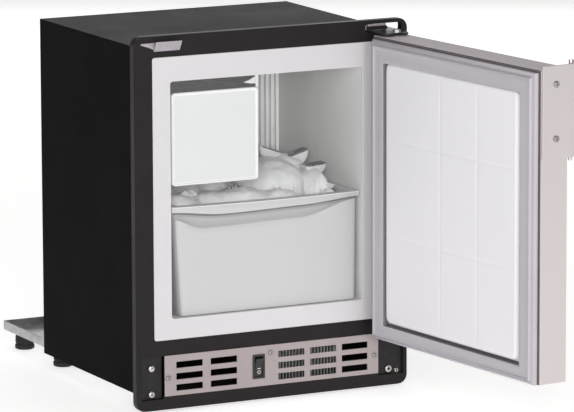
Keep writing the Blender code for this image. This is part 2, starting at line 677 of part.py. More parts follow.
# ---------------------------------------------------------------- bin and ice
def build_bin():
    steps = 10
    low, high = BIN_X
    middle, half = (low + high) / 2, (high - low) / 2

    def bow(x, depth):
        return depth * (1.0 - ((x - middle) / half) ** 2)

    def front_loop(depth, inset=0.0, back=None):
        xs = [low + inset + (high - low - 2 * inset) * i / steps for i in range(steps + 1)]
        front = [(px, BIN_Y[0] + inset - bow(px, depth)) for px in xs]
        rear = (back if back is not None else BIN_Y[1]) - inset
        return [*front, (high - inset, rear), (low + inset, rear)]

    # the lip bows forward, the wall below it is flat
    lip = level_plate("ice_bin", [front_loop(BIN_BOW)], (BIN_Z[1] - 0.0095, BIN_Z[1]), bin_plastic, cabinet)
    body = box("bin_body", (low + 0.003, high - 0.003), (BIN_Y[0] + 0.002, BIN_Y[1] - 0.003),
               (BIN_Z[0], BIN_Z[1] - 0.004), parent=cabinet, cutter=True)
    join(lip, body)
    w = BIN_WALL
    cut(lip, box("bin_cutter", (low + 0.003 + w, high - 0.003 - w), (BIN_Y[0] + 0.002 + w, BIN_Y[1] - 0.003 - w),
                 (BIN_Z[0] + w, 0.4), parent=cabinet, cutter=True))

    # heap of ice: a grid whose height follows a rule, closed to a solid
    x = (low + 0.003 + w + 0.0006, high - 0.003 - w - 0.0120)
    y = (BIN_Y[0] + 0.002 + w + 0.0006, 0.2300)
    columns, rows = 14, 13

    def height(px, py):
        ridge = math.exp(-((px - 0.030) / 0.045) ** 2 - ((py - 0.150) / 0.085) ** 2)
        lumps = 0.0022 * math.sin(px * 190.0 + 1.0) * math.sin(py * 170.0) + 0.0016 * math.sin(px * 310.0 - py * 270.0)
        slope = -0.010 * max(0.0, (px - 0.050) / 0.060)
        return 0.2530 + 0.0300 * ridge + lumps + slope - 0.004 * (py < 0.02)

    bm = bmesh.new()
    bmesh.ops.create_grid(bm, x_segments=columns, y_segments=rows, size=0.5)
    for vert in bm.verts:
        vert.co.x = x[0] + (x[1] - x[0]) * (vert.co.x + 0.5)
        vert.co.y = y[0] + (y[1] - y[0]) * (vert.co.y + 0.5)
    edge = [e for e in bm.edges if e.is_boundary]
    made = bmesh.ops.extrude_edge_only(bm, edges=edge)
    bottom = [v for v in made["geom"] if isinstance(v, bmesh.types.BMVert)]
    for vert in bm.verts:
        if vert in bottom:
            vert.co.z = BIN_Z[0] + w + 0.0006
        else:
            vert.co.z = height(vert.co.x, vert.co.y)
    rim = [e for e in bm.edges if e.is_boundary]
    bmesh.ops.contextual_create(bm, geom=rim)
    bmesh.ops.recalc_face_normals(bm, faces=bm.faces)
    centre = Vector(((x[0] + x[1]) / 2, (y[0] + y[1]) / 2, BIN_Z[0]))
    bmesh.ops.translate(bm, vec=-centre, verts=bm.verts)
    heap = add_object("ice_heap", mesh_from(bm, "ice_heap"), centre, ice_look, cabinet)
    smooth(heap, 40)


# ---------------------------------------------------------------- machine side
def build_machine():
    # condenser behind the grille: upright fins on two runs of tube
    runs = (0.0400, 0.0620)
    count = 20
    fins = []
    for i in range(count):
        x = 0.0020 + 0.0940 * i / (count - 1)
        fins.append(((x, x + 0.0006), (0.0200, 0.0600), (0.0250, 0.0770)))
    path = [(-0.0040, 0.0400, runs[0]), (0.1085, 0.0400, runs[0]), (0.1085, 0.0400, runs[1]), (-0.0040, 0.0400, runs[1])]
    condenser = tube("condenser", bend(path, 0.0108, 6), 0.0034, aluminium, cabinet)
    join(condenser, boxes("condenser_fins", fins, parent=cabinet, cutter=True))

    path = [
        (-0.0135, 0.3750, 0.0750), (-0.0190, 0.3750, 0.0750), (-0.0190, 0.3450, 0.0620), (-0.0120, 0.3200, 0.0620),
        (-0.0120, 0.0400, 0.0620), (-0.0044, 0.0400, 0.0620),
    ]
    tube("discharge_tube", bend(path, 0.0045, 3), 0.0028, copper, cabinet)
    path = [
        (-0.0044, 0.0400, 0.0400), (-0.0240, 0.0400, 0.0400), (-0.0240, 0.3050, 0.0400), (-0.0100, 0.3250, 0.0440),
        (0.1400, 0.3250, 0.0440), (0.1400, 0.4000, 0.0440), (0.1400, 0.4000, 0.0547),
    ]
    tube("liquid_tube", bend(path, 0.0070, 3), 0.0024, copper, cabinet)
    path = [(0.045, 0.3296, 0.1200), (0.045, 0.3222, 0.1200), (0.045, 0.3222, 0.2400), (0.045, 0.2850, 0.2400)]
    tube("suction_tube", bend(path, 0.0045, 3), 0.0040, copper, cabinet)
    profile = [(0.0, 0.0900), (0.0030, 0.0900), (0.0035, 0.0820), (0.0095, 0.0740), (0.0095, 0.0160),
               (0.0035, 0.0080), (0.0030, 0.0), (0.0, 0.0)]
    drier = turned("filter_drier", (0.1400, 0.4000, 0.0551), profile, copper, cabinet, 16)
    # the thin outlet pipe is brazed into the drier's upper end
    path = [(0.1400, 0.4000, 0.1400), (0.1400, 0.4000, 0.2000), (0.1400, 0.2850, 0.2000)]
    outlet = tube("drier_outlet", bend(path, 0.0200, 5), 0.0020, None, cabinet, cutter=True)
    join(drier, outlet)

    # compressor on its rubber mounts at the back of the pan
    base = level_plate(
        "compressor_base",
        [rounded_rect((COMPRESSOR_X - 0.066, COMPRESSOR_X + 0.066), (COMPRESSOR_Y - 0.056, COMPRESSOR_Y + 0.056), 0.012)],
        (0.0345, 0.0370), parent=cabinet, cutter=True,
    )
    floor = PAN_Z[0] + SHEET + GAP
    spots = [(COMPRESSOR_X + dx, COMPRESSOR_Y + dy) for dx in (-0.054, 0.054) for dy in (-0.044, 0.044)]
    r = COMPRESSOR_R
    profile = [(0.0, 0.1480), (r * 0.42, 0.1450), (r * 0.76, 0.1330), (r * 0.95, 0.1120), (r, 0.0900), (r, 0.0700),
               (r * 1.03, 0.0690), (r * 1.03, 0.0640), (r, 0.0630), (r, 0.0280), (r * 0.93, 0.0130), (r * 0.62, 0.0),
               (0.0, 0.0)]
    shell = turned("compressor", (COMPRESSOR_X, COMPRESSOR_Y, 0.0362), profile, compressor_paint, cabinet, 28)
    join(shell, base)
    join(shell, rods("compressor_mounts", [(x, y, floor) for x, y in spots], "Z", 0.0355 - floor, 0.0090,
                     parent=cabinet, cutter=True, segments=14))
    join(shell, box(
        "terminal_cover", (COMPRESSOR_X + r * 0.90, COMPRESSOR_X + r + 0.0180), (0.3680, 0.4080), (0.0700, 0.1180),
        parent=cabinet, cutter=True,
    ))

    # condenser fan behind the opening under the icebox
    x, z = (-0.1420, -0.0240), (PAN_Z[0] + SHEET + GAP, 0.1500)
    upright_plate("fan_shroud", [rounded_rect(x, z, 0.004), circle(FAN_X, FAN_Z, FAN_R + 0.003, 28)],
                  (0.3160, 0.3190), black_plastic, cabinet)
    motor = rods("fan_motor", [(FAN_X, 0.3420, FAN_Z)], "Y", 0.0280, 0.0190, dark_steel, cabinet, segments=20)
    legs = [((FAN_X - 0.0030, FAN_X + 0.0030), (0.3460, 0.3500), (floor, FAN_Z))]
    join(motor, boxes("fan_motor_leg", legs, parent=cabinet, cutter=True))
    join(motor, box("fan_motor_foot", (FAN_X - 0.0150, FAN_X + 0.0150), (0.3430, 0.3620), (floor, floor + 0.0025),
                    parent=cabinet, cutter=True))
    hub = rods("fan_blades", [(FAN_X, 0.3230, FAN_Z)], "Y", 0.0150, 0.0120, black_plastic, cabinet, segments=16)
    blade_count = 5
    for i in range(blade_count):
        blade = box(f"fan_blade_{i}", (-0.0150, 0.0150), (-0.0008, 0.0008), (0.0090, FAN_R), parent=cabinet, cutter=True)
        blade.data.transform(Matrix.Translation((0.0, 0.0, (0.0090 + FAN_R) / 2)))
        pitch = Matrix.Rotation(math.radians(28.0), 4, "Z")
        around = Matrix.Rotation(2 * math.pi * i / blade_count, 4, "Y")
        blade.data.transform(around @ pitch)
        blade.location = (FAN_X, 0.3305, FAN_Z)
        join(hub, blade)

    # water side and wiring box on the rear panel
    valve = box("water_valve", (SHAFT_X - 0.018, SHAFT_X + 0.018), (0.3122, 0.3640), (0.2900, 0.3290),
                white_plastic, cabinet)
    join(valve, rods("valve_inlet", [(SHAFT_X, 0.3600, 0.3080)], "Y", 0.0260, 0.0115, parent=cabinet, cutter=True,
                     segments=20))
    cut(valve, rods("valve_inlet_bore", [(SHAFT_X, 0.3700, 0.3080)], "Y", 0.0400, 0.0085, parent=cabinet, cutter=True))
    join(valve, rods("valve_solenoid", [(SHAFT_X, 0.3440, 0.2540)], "Z", 0.0400, 0.0140, parent=cabinet,
                     cutter=True, segments=18))
    path = [(SHAFT_X, 0.2500, 0.3810), (SHAFT_X, 0.3440, 0.3810), (SHAFT_X, 0.3440, 0.3293)]
    tube("fill_tube", bend(path, 0.0140, 4), 0.0050, white_plastic, cabinet)
    box("wiring_box", (0.0750, 0.1550), (0.3122, 0.3520), (0.2700, 0.3600), dark_steel, cabinet)
    inlet = rods("power_inlet", [(0.1150, 0.3523, 0.2950)], "Y", 0.0140, 0.0110, black_plastic, cabinet, segments=18)
    cut(inlet, rods("power_inlet_bore", [(0.1150, 0.3560, 0.2950)], "Y", 0.03, 0.0055, parent=cabinet, cutter=True))


# ---------------------------------------------------------------- door
def build_door():
    skin = box("door_skin", (-DOOR_HALF, DOOR_HALF), DOOR_Y, DOOR_Z, stainless, closed)
    bevel(skin, 0.0016, 2)
    t = 0.0010
    inner_x = (-DOOR_HALF + t, DOOR_HALF - t)
    inner_z = (DOOR_Z[0] + t, DOOR_Z[1] - t)
    cut(skin, box("skin_cutter", inner_x, (DOOR_Y[0] + t, 0.1), inner_z, parent=closed, cutter=True))
    pin_way = rods("pin_way", [(HINGE_X, HINGE_Y, 0.0)], "Z", 0.6, PIN_R + 0.0006, parent=closed, cutter=True)
    cut(skin, pin_way)

    foam_x = (inner_x[0] + GAP, inner_x[1] - GAP)
    foam_z = (inner_z[0] + GAP, inner_z[1] - GAP)
    foam = box("door_foam", foam_x, (DOOR_Y[0] + t + GAP, -0.0126), foam_z, foam_look, closed)
    cut(foam, rods("pin_bore", [(HINGE_X, HINGE_Y, 0.0)], "Z", 0.6, PIN_R + 0.0001, parent=closed, cutter=True))

    liner = upright_plate(
        "door_liner", [rounded_rect((foam_x[0], foam_x[1]), foam_z, 0.003)], (-0.0123, -0.0110), panel_plastic, closed
    )
    raised = upright_plate(
        "door_panel_block", [rounded_rect((-PANEL_HALF, PANEL_HALF), PANEL_Z, 0.006)], (-0.0120, -0.0045),
        parent=closed, cutter=True,
    )
    join(liner, raised)

    # gasket: a ring whose outer front edge is chamfered
    outer = rect((-GASKET_HALF, GASKET_HALF), GASKET_Z)
    inner = rect((-0.1465, 0.1465), (PANEL_Z[0] - 0.0035, PANEL_Z[1] + 0.0035))
    gasket = upright_plate("door_gasket", [outer, inner], (-0.0100, -0.0100 + 0.0080), gasket_rubber, closed)
    # a wedge along each upright side takes its outer front edge off
    reach = 0.0062
    depth = 0.0036
    for sign in (-1, 1):
        edge = sign * GASKET_HALF
        wedge = [
            (edge + sign * 0.002, GASKET_FRONT - depth * (reach + 0.002) / reach),
            (edge - sign * reach, GASKET_FRONT),
            (edge - sign * reach, GASKET_FRONT + 0.002),
            (edge + sign * 0.002, GASKET_FRONT + 0.002),
        ]
        cut(gasket, level_plate("gasket_wedge", [wedge], (0.0, 0.5), parent=closed, cutter=True))

    # handle: a plate round the free edge that rolls out into a grip
    x = -DOOR_HALF - GAP
    sheet = 0.0016
    outer_path = [(x - sheet, -0.0125), (x - sheet, -0.0600)]
    inner_path = [(x, -0.0125), (x, -0.0600)]
    roll = 0.0165
    for i in range(1, 8):
        angle = math.radians(180.0 + 90.0 * i / 7)
        outer_path.append((x + roll + (roll + sheet) * math.cos(angle), -0.0600 + (roll + sheet) * math.sin(angle)))
        inner_path.append((x + roll + roll * math.cos(angle), -0.0600 + roll * math.sin(angle)))
    outer_path += [(x + roll + 0.0100, -0.0600 - roll - sheet), (x + roll + 0.0125, -0.0600 - roll - 0.0004)]
    inner_path += [(x + roll + 0.0100, -0.0600 - roll), ]
    handle = level_plate("handle_plate", [outer_path + inner_path[::-1]], HANDLE_Z, stainless, closed)
    bevel(handle, 0.0004, 1, 60)
    for place, z in (("upper", 0.4346), ("lower", 0.3685)):
        screw(f"handle_screw_{place}", (x - sheet - GAP, -0.0328, z), "-X", 0.0042, 0.0016, zinc, closed)

    # sprung latch rod inside the grip, in two guides formed on the plate
    rod_x, rod_y = x + 0.0046, -0.0580
    guides = [((x - 0.0008, x + 0.0090), (rod_y - 0.0042, rod_y + 0.0042), (z, z + 0.0090)) for z in (0.3640, 0.4300)]
    join(handle, boxes("latch_guides", guides, parent=closed, cutter=True))
    cut(handle, rods("guide_bore", [(rod_x, rod_y, 0.3)], "Z", 0.2, 0.0029, parent=closed, cutter=True))
    rod = rods("latch_rod", [(rod_x, rod_y, 0.3395)], "Z", 0.1225, 0.0026, stainless, closed)
    join(rod, rods("latch_knob", [(rod_x, rod_y, 0.3980)], "Z", 0.0080, 0.0038, parent=closed, cutter=True))


build_cabinet()
build_front()
build_icemaker()
build_bin()
build_machine()
build_door()
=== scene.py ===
"""Looks of the compact ice maker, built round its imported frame."""
import json
import math
import random

import bmesh
import bpy
from mathutils import Matrix, Vector, noise

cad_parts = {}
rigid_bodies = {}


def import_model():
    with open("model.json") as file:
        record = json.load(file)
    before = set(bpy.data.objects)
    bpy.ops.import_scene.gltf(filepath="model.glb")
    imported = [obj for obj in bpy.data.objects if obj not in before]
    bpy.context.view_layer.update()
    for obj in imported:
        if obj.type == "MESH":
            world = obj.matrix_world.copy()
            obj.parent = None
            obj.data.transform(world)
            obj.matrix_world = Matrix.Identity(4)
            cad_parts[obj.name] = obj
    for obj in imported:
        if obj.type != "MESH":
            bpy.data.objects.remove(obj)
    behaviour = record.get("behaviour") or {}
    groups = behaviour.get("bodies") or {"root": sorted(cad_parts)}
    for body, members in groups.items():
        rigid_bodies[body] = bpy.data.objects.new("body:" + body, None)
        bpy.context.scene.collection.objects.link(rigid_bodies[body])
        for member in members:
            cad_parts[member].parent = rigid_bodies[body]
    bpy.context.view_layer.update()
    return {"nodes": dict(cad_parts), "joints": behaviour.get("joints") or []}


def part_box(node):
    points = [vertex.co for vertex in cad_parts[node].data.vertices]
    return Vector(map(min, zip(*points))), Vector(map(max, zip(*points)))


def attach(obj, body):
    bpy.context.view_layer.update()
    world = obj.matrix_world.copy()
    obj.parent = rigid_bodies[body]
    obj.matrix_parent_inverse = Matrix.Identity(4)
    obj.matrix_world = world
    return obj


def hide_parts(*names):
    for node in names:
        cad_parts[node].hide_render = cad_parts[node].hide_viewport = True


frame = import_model()
NODES = frame["nodes"]
JOINTS = {joint["name"]: joint for joint in frame["joints"]}
SHOWN = bpy.context.scene.collection.objects

# the cabinet's own frame starts at the middle of the flange's lower front edge
FLANGE_LO, FLANGE_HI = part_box("front_flange")
ORIGIN = Vector(((FLANGE_LO.x + FLANGE_HI.x) / 2, FLANGE_LO.y, FLANGE_LO.z))
CAB = Matrix.Translation(ORIGIN)
PIVOT = Vector(JOINTS["door_hinge"]["pos_m"]) - ORIGIN
OPEN = -math.radians(JOINTS["door_hinge"]["range_deg"][0])
# DOOR takes a point of the closed door to where the open door holds it at rest
DOOR = (CAB @ Matrix.Translation((PIVOT.x, PIVOT.y, 0)) @ Matrix.Rotation(OPEN, 4, "Z")
        @ Matrix.Translation((-PIVOT.x, -PIVOT.y, 0)))


def local(node):
    """A node's box in the cabinet's own frame."""
    lo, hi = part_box(node)
    return lo - ORIGIN, hi - ORIGIN


def closed(node):
    """A door node's box in the closed door's frame."""
    back = DOOR.inverted()
    points = [back @ v.co for v in NODES[node].data.vertices]
    return (Vector(min(p[i] for p in points) for i in range(3)),
            Vector(max(p[i] for p in points) for i in range(3)))


# ---- materials
EVEN = (1, 1, 1)
BUMP_DEPTH = 0.0006
# the span of the noise that the second colour and the roughness spread over
MOTTLE_SPAN = (0.38, 0.66)
WEAR_SPAN = (0.3, 0.7)


def put(node, **values):
    """Sets constants on a node's own sockets, with _ for the blanks in their names."""
    for key, value in values.items():
        node.inputs[key.replace("_", " ")].default_value = value
    return node


def surface(name, colour, rough, metal=0.0, grain=None, mottle=None, wear=None, **sockets):
    """A Principled surface. grain is (scale, strength) of its bump, mottle is (scale, colour,
    amount) of a second colour, and each may end with its noise's stretch along X, Y and Z.
    wear is (scale, low, high) of its roughness."""
    made = bpy.data.materials.new(name)
    made.use_nodes = True
    tree = made.node_tree
    shader = put(tree.nodes["Principled BSDF"], Base_Color=(*colour, 1.0), Roughness=rough,
                 Metallic=metal, **sockets)
    where = tree.nodes.new("ShaderNodeTexCoord")

    def fed(kind, source, into, out, **values):
        new = put(tree.nodes.new(kind), **values)
        tree.links.new(source, new.inputs[into])
        return new.outputs[out]

    def cloud(scale, stretch=EVEN, detail=3.0):
        spot = fed("ShaderNodeMapping", where.outputs["Object"], "Vector", "Vector", Scale=stretch)
        return fed("ShaderNodeTexNoise", spot, "Vector", "Fac", Scale=scale, Detail=detail)

    def spread(value, span, low, high):
        return fed("ShaderNodeMapRange", value, "Value", "Result", From_Min=span[0],
                   From_Max=span[1], To_Min=low, To_Max=high)

    if grain:
        scale, strength, stretch = (*grain, EVEN)[:3]
        bump = fed("ShaderNodeBump", cloud(scale, stretch), "Height", "Normal",
                   Strength=strength, Distance=BUMP_DEPTH)
        tree.links.new(bump, shader.inputs["Normal"])
    if mottle:
        scale, second, amount, stretch = (*mottle, EVEN)[:4]
        mix = tree.nodes.new("ShaderNodeMix")
        mix.data_type = "RGBA"
        put(mix, A=(*colour, 1.0), B=(*second, 1.0))
        share = spread(cloud(scale, stretch, 5.0), MOTTLE_SPAN, 0.0, amount)
        tree.links.new(share, mix.inputs["Factor"])
        tree.links.new(mix.outputs["Result"], shader.inputs["Base Color"])
    if wear:
        scale, low, high = wear
        tree.links.new(spread(cloud(scale), WEAR_SPAN, low, high), shader.inputs["Roughness"])
    return made


shell_paint = surface(
    "shell_paint", (0.0045, 0.004, 0.0042), 0.42, grain=(1500, 0.3),
    mottle=(30, (0.0058, 0.0052, 0.0054), 0.7), wear=(12, 0.39, 0.45), Specular_IOR_Level=0.009)
flange_paint = surface(
    "flange_paint", (0.0165, 0.0135, 0.0143), 0.42, grain=(1700, 0.35),
    mottle=(40, (0.02, 0.0165, 0.0175), 0.7), wear=(15, 0.38, 0.46), Specular_IOR_Level=0.15)
hinge_paint = surface(
    "hinge_paint", (0.01, 0.0085, 0.009), 0.34, grain=(1200, 0.3),
    mottle=(120, (0.016, 0.014, 0.015), 0.8), wear=(60, 0.28, 0.42), Specular_IOR_Level=0.3)
frame_plastic = surface(
    "frame_plastic", (0.65, 0.634, 0.65), 0.38, grain=(900, 0.1),
    mottle=(8, (0.637, 0.622, 0.638), 0.7), wear=(20, 0.35, 0.41))
liner_plastic = surface(
    "liner_plastic", (0.8, 0.8, 0.792), 0.45, grain=(500, 0.03),
    mottle=(14, (0.785, 0.785, 0.777), 0.6))
# painted shade: a darker copy of the liner plastic for the step deep in the cavity
step_shade_plastic = surface(
    "step_shade_plastic", (0.72, 0.72, 0.712), 0.45, grain=(500, 0.03),
    mottle=(14, (0.71, 0.71, 0.702), 0.6))
flute_plastic = surface(
    "flute_plastic", (0.93, 0.932, 0.925), 0.4, grain=(300, 0.03),
    mottle=(20, (0.868, 0.87, 0.862), 0.6))
cover_plastic = surface(
    "cover_plastic", (0.695, 0.708, 0.703), 0.34, grain=(700, 0.03),
    mottle=(9, (0.683, 0.697, 0.692), 0.7))
# painted highlight: a lighter copy of the cover plastic for the rolled edges of the cover and of
# the bin's lip
highlight_plastic = surface(
    "highlight_plastic", (0.8, 0.81, 0.806), 0.32, grain=(700, 0.03),
    mottle=(12, (0.785, 0.797, 0.793), 0.7))
panel_plastic = surface(
    "panel_plastic", (0.88, 0.866, 0.898), 0.42, grain=(1300, 0.18),
    mottle=(7, (0.865, 0.852, 0.884), 0.7), wear=(16, 0.4, 0.46))
gasket_rubber = surface(
    "gasket_rubber", (0.52, 0.496, 0.532), 0.58, grain=(1500, 0.15),
    mottle=(25, (0.5, 0.476, 0.512), 0.7), wear=(30, 0.55, 0.61))
gasket_shade = surface(
    "gasket_shade", (0.2, 0.185, 0.2), 0.6, mottle=(25, (0.18, 0.165, 0.18), 0.7))
strip_plastic = surface(
    "strip_plastic", (0.66, 0.605, 0.62), 0.6, grain=(1200, 0.1),
    mottle=(20, (0.69, 0.635, 0.65), 0.7), Specular_IOR_Level=0.1)
# painted shade: near-black strips laid in the door's gaps
gap_shade = surface(
    "gap_shade", (0.115, 0.1, 0.11), 0.6, grain=(1500, 0.15),
    mottle=(40, (0.14, 0.125, 0.135), 0.7))
bin_plastic = surface(
    "bin_plastic", (0.565, 0.568, 0.568), 0.36, grain=(1100, 0.1),
    mottle=(11, (0.552, 0.555, 0.555), 0.7), wear=(20, 0.34, 0.39), Subsurface_Weight=0.1,
    Subsurface_Scale=0.004, Subsurface_Radius=(1.0, 1.0, 1.0))
# painted shade under the bin's lip: darker copies of the bin plastic for the finger scoop, its
# deep part and the shadow line right under the lip
bin_shade = surface(
    "bin_shade", (0.46, 0.463, 0.463), 0.42, grain=(1100, 0.1),
    mottle=(11, (0.445, 0.448, 0.448), 0.7))
bin_deep_shade = surface(
    "bin_deep_shade", (0.355, 0.357, 0.358), 0.45, mottle=(30, (0.375, 0.377, 0.378), 0.7))
bin_shadow_line = surface("bin_shadow_line", (0.19, 0.19, 0.192), 0.5, mottle=(40, (0.22, 0.22, 0.222), 0.7))
# painted shade on the tub's left side and corner, where the frame keeps the light off
bin_side_shade = surface("bin_side_shade", (0.42, 0.415, 0.43), 0.45, mottle=(30, (0.4, 0.395, 0.41), 0.7))
ice_frost = surface(
    "ice_frost", (0.93, 0.935, 0.93), 0.34, grain=(70, 0.25),
    mottle=(30, (0.72, 0.73, 0.728), 0.9), wear=(50, 0.26, 0.44), Subsurface_Weight=0.3,
    Subsurface_Scale=0.008, Subsurface_Radius=(1.0, 1.0, 1.0))
ice_body = surface(
    "ice_body", (0.8, 0.805, 0.8), 0.26, grain=(90, 0.2), mottle=(50, (0.62, 0.63, 0.63), 0.85),
    wear=(70, 0.18, 0.36), Subsurface_Weight=0.3, Subsurface_Scale=0.006,
    Subsurface_Radius=(1.0, 1.0, 1.0))
# painted shade on the cut faces of the half moons
ice_cut_shade = surface(
    "ice_cut_shade", (0.11, 0.115, 0.12), 0.22, grain=(160, 0.4), mottle=(190, (0.26, 0.27, 0.275), 0.9),
    wear=(90, 0.16, 0.3))
dark_band = surface(
    "dark_band", (0.06, 0.06, 0.061), 0.4, grain=(900, 0.2),
    mottle=(60, (0.085, 0.085, 0.086), 0.9, (1, 1, 6)), wear=(25, 0.32, 0.48))
white_plastic = surface(
    "white_plastic", (0.78, 0.77, 0.76), 0.38, grain=(900, 0.1),
    mottle=(30, (0.75, 0.74, 0.725), 0.7), wear=(25, 0.34, 0.42))
black_plastic = surface(
    "black_plastic", (0.014, 0.013, 0.014), 0.38, grain=(1200, 0.25),
    mottle=(50, (0.022, 0.021, 0.022), 0.7), wear=(25, 0.32, 0.46))
mark_ink = surface("mark_ink", (0.72, 0.72, 0.7), 0.5, mottle=(200, (0.6, 0.6, 0.58), 0.6))
taupe_paint = surface(
    "taupe_paint", (0.365, 0.312, 0.312), 0.44, metal=0.1, grain=(1400, 0.25),
    mottle=(35, (0.39, 0.337, 0.335), 0.8), wear=(18, 0.4, 0.48))
stainless = surface(
    "stainless", (0.685, 0.64, 0.634), 0.32, metal=1.0, grain=(700, 0.04, (9, 9, 0.1)),
    mottle=(420, (0.665, 0.62, 0.612), 0.5, (7, 7, 0.06)))
strike_steel = surface(
    "strike_steel", (0.44, 0.4, 0.435), 0.42, metal=0.5, grain=(600, 0.12, (0.3, 6, 6)),
    mottle=(150, (0.36, 0.33, 0.36), 0.6), wear=(60, 0.36, 0.48))
zinc_steel = surface(
    "zinc_steel", (0.6, 0.58, 0.565), 0.3, metal=1.0, grain=(900, 0.2),
    mottle=(250, (0.42, 0.4, 0.385), 0.6), wear=(120, 0.24, 0.42))
screw_steel = surface(
    "screw_steel", (0.36, 0.335, 0.325), 0.4, metal=0.6, grain=(900, 0.2),
    mottle=(250, (0.26, 0.24, 0.235), 0.6))
fin_metal = surface(
    "fin_metal", (0.36, 0.355, 0.35), 0.5, metal=0.25, grain=(400, 0.2),
    mottle=(120, (0.24, 0.235, 0.235), 0.8))
# partly painted shade: a flat near-black that keeps the machine's lit inside from showing
duct_shade_black = surface(
    "duct_shade_black", (0.004, 0.0036, 0.0036), 0.8, mottle=(40, (0.006, 0.0055, 0.0055), 0.6),
    Specular_IOR_Level=0.05)
galvanised = surface(
    "galvanised", (0.54, 0.54, 0.545), 0.42, metal=0.85, grain=(220, 0.15),
    mottle=(110, (0.43, 0.43, 0.44), 0.9), wear=(90, 0.34, 0.55))
aluminium = surface(
    "aluminium", (0.68, 0.69, 0.7), 0.34, metal=1.0, grain=(400, 0.2),
    mottle=(150, (0.58, 0.59, 0.6), 0.7), wear=(80, 0.28, 0.45))
copper = surface(
    "copper", (0.7, 0.36, 0.22), 0.3, metal=1.0, grain=(500, 0.1),
    mottle=(60, (0.5, 0.25, 0.16), 0.8), wear=(70, 0.22, 0.45))
enamel = surface(
    "enamel", (0.01, 0.01, 0.011), 0.32, grain=(350, 0.12),
    mottle=(40, (0.016, 0.016, 0.017), 0.7), wear=(22, 0.26, 0.42), Coat_Weight=0.3)
foot_rubber = surface(
    "foot_rubber", (0.014, 0.014, 0.014), 0.75, grain=(900, 0.4),
    mottle=(60, (0.022, 0.021, 0.021), 0.7), wear=(40, 0.68, 0.82))
foam_yellow = surface(
    "foam_yellow", (0.68, 0.58, 0.34), 0.9, grain=(700, 0.8), mottle=(90, (0.6, 0.5, 0.28), 0.8))
floor_white = surface(
    "floor_white", (0.85, 0.85, 0.85), 0.9, mottle=(3, (0.84, 0.84, 0.84), 0.5),
    Emission_Color=(1.0, 0.995, 0.99, 1.0), Emission_Strength=0.6)


# ---- mesh code
def turned(degrees, axis):
    return Matrix.Rotation(math.radians(degrees), 4, axis)


def link(name, mesh, looks, body, matrix=CAB, stands_for=()):
    """A new piece that rides on body; a face's material index picks one of its looks."""
    obj = bpy.data.objects.new(name, mesh)
    SHOWN.link(obj)
    obj.matrix_world = matrix
    for look in looks:
        mesh.materials.append(look)
    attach(obj, body)
    if stands_for:
        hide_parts(*stands_for)
    return obj


def finished(bm, name, angle=35.0):
    """The mesh of bm, smooth but for edges sharper than angle."""
    bmesh.ops.recalc_face_normals(bm, faces=bm.faces)
    limit = math.radians(angle)
    for face in bm.faces:
        face.smooth = True
    for edge in bm.edges:
        if len(edge.link_faces) == 2:
            edge.smooth = edge.calc_face_angle(0.0) < limit
    mesh = bpy.data.meshes.new(name)
    bm.to_mesh(mesh)
    bm.free()
    return mesh


def piece(bm, name, looks, body, matrix=CAB, stands_for=(), angle=35.0):
    """Makes bm a piece."""
    return link(name, finished(bm, name, angle), looks, body, matrix, stands_for)


def rounded(obj, width, segments=2, angle=30.0):
    mod = obj.modifiers.new("round", "BEVEL")
    mod.width = width
    mod.segments = segments
    mod.limit_method = "ANGLE"
    mod.angle_limit = math.radians(angle)
    mod.use_clamp_overlap = True
    obj.modifiers.new("normals", "WEIGHTED_NORMAL").keep_sharp = False
    return obj


def add_box(bm, x, y, z):
    made = bmesh.ops.create_cube(bm, size=1.0)
    size = Vector((x[1] - x[0], y[1] - y[0], z[1] - z[0]))
    middle = Vector((x[0] + x[1], y[0] + y[1], z[0] + z[1])) / 2
    for v in made["verts"]:
        v.co = Vector(v.co[i] * size[i] for i in range(3)) + middle
    return made["verts"]


def bridge(bm, rings, close=False):
    """The faces from each ring to the next, in order."""
    pairs = list(zip(rings, rings[1:]))
    if close:
        pairs.append((rings[-1], rings[0]))
    faces = []
    for first, second in pairs:
        for i in range(len(first)):
            j = (i + 1) % len(first)
            faces.append(bm.faces.new((first[i], first[j], second[j], second[i])))
    return faces


def prism(bm, outline, low, high, axis="Z"):
    """A closed prism along an axis, over a 2D outline in the other two."""
    order = {"X": (2, 0, 1), "Y": (0, 2, 1), "Z": (0, 1, 2)}[axis]
    rings = [[bm.verts.new([(a, b, h)[k] for k in order]) for a, b in outline]
             for h in (low, high)]
    bm.faces.new(rings[0][::-1])
    bm.faces.new(rings[1])
    bridge(bm, rings)


def lathe(bm, profile, centre, axis="Z", steps=32):
    """Turns (radius, height) pairs round an axis through centre; ends on the axis close it."""
    turn = {"Z": Matrix.Identity(3), "Y": Matrix.Rotation(-math.pi / 2, 3, "X"),
            "-Y": Matrix.Rotation(math.pi / 2, 3, "X")}[axis]
    turns = [2 * math.pi * i / steps for i in range(steps)]
    rings = []
    for radius, height in profile:
        if radius < 1e-7:
            points = [(0, 0, height)]
        else:
            points = [(radius * math.cos(t), radius * math.sin(t), height) for t in turns]
        rings.append([bm.verts.new(centre + turn @ Vector(point)) for point in points])
    for first, second in zip(rings, rings[1:]):
        for i in range(steps):
            j = (i + 1) % steps
            if len(first) == 1:
                bm.faces.new((first[0], second[j], second[i]))
            elif len(second) == 1:
                bm.faces.new((first[i], first[j], second[0]))
            else:
                bm.faces.new((first[i], first[j], second[j], second[i]))


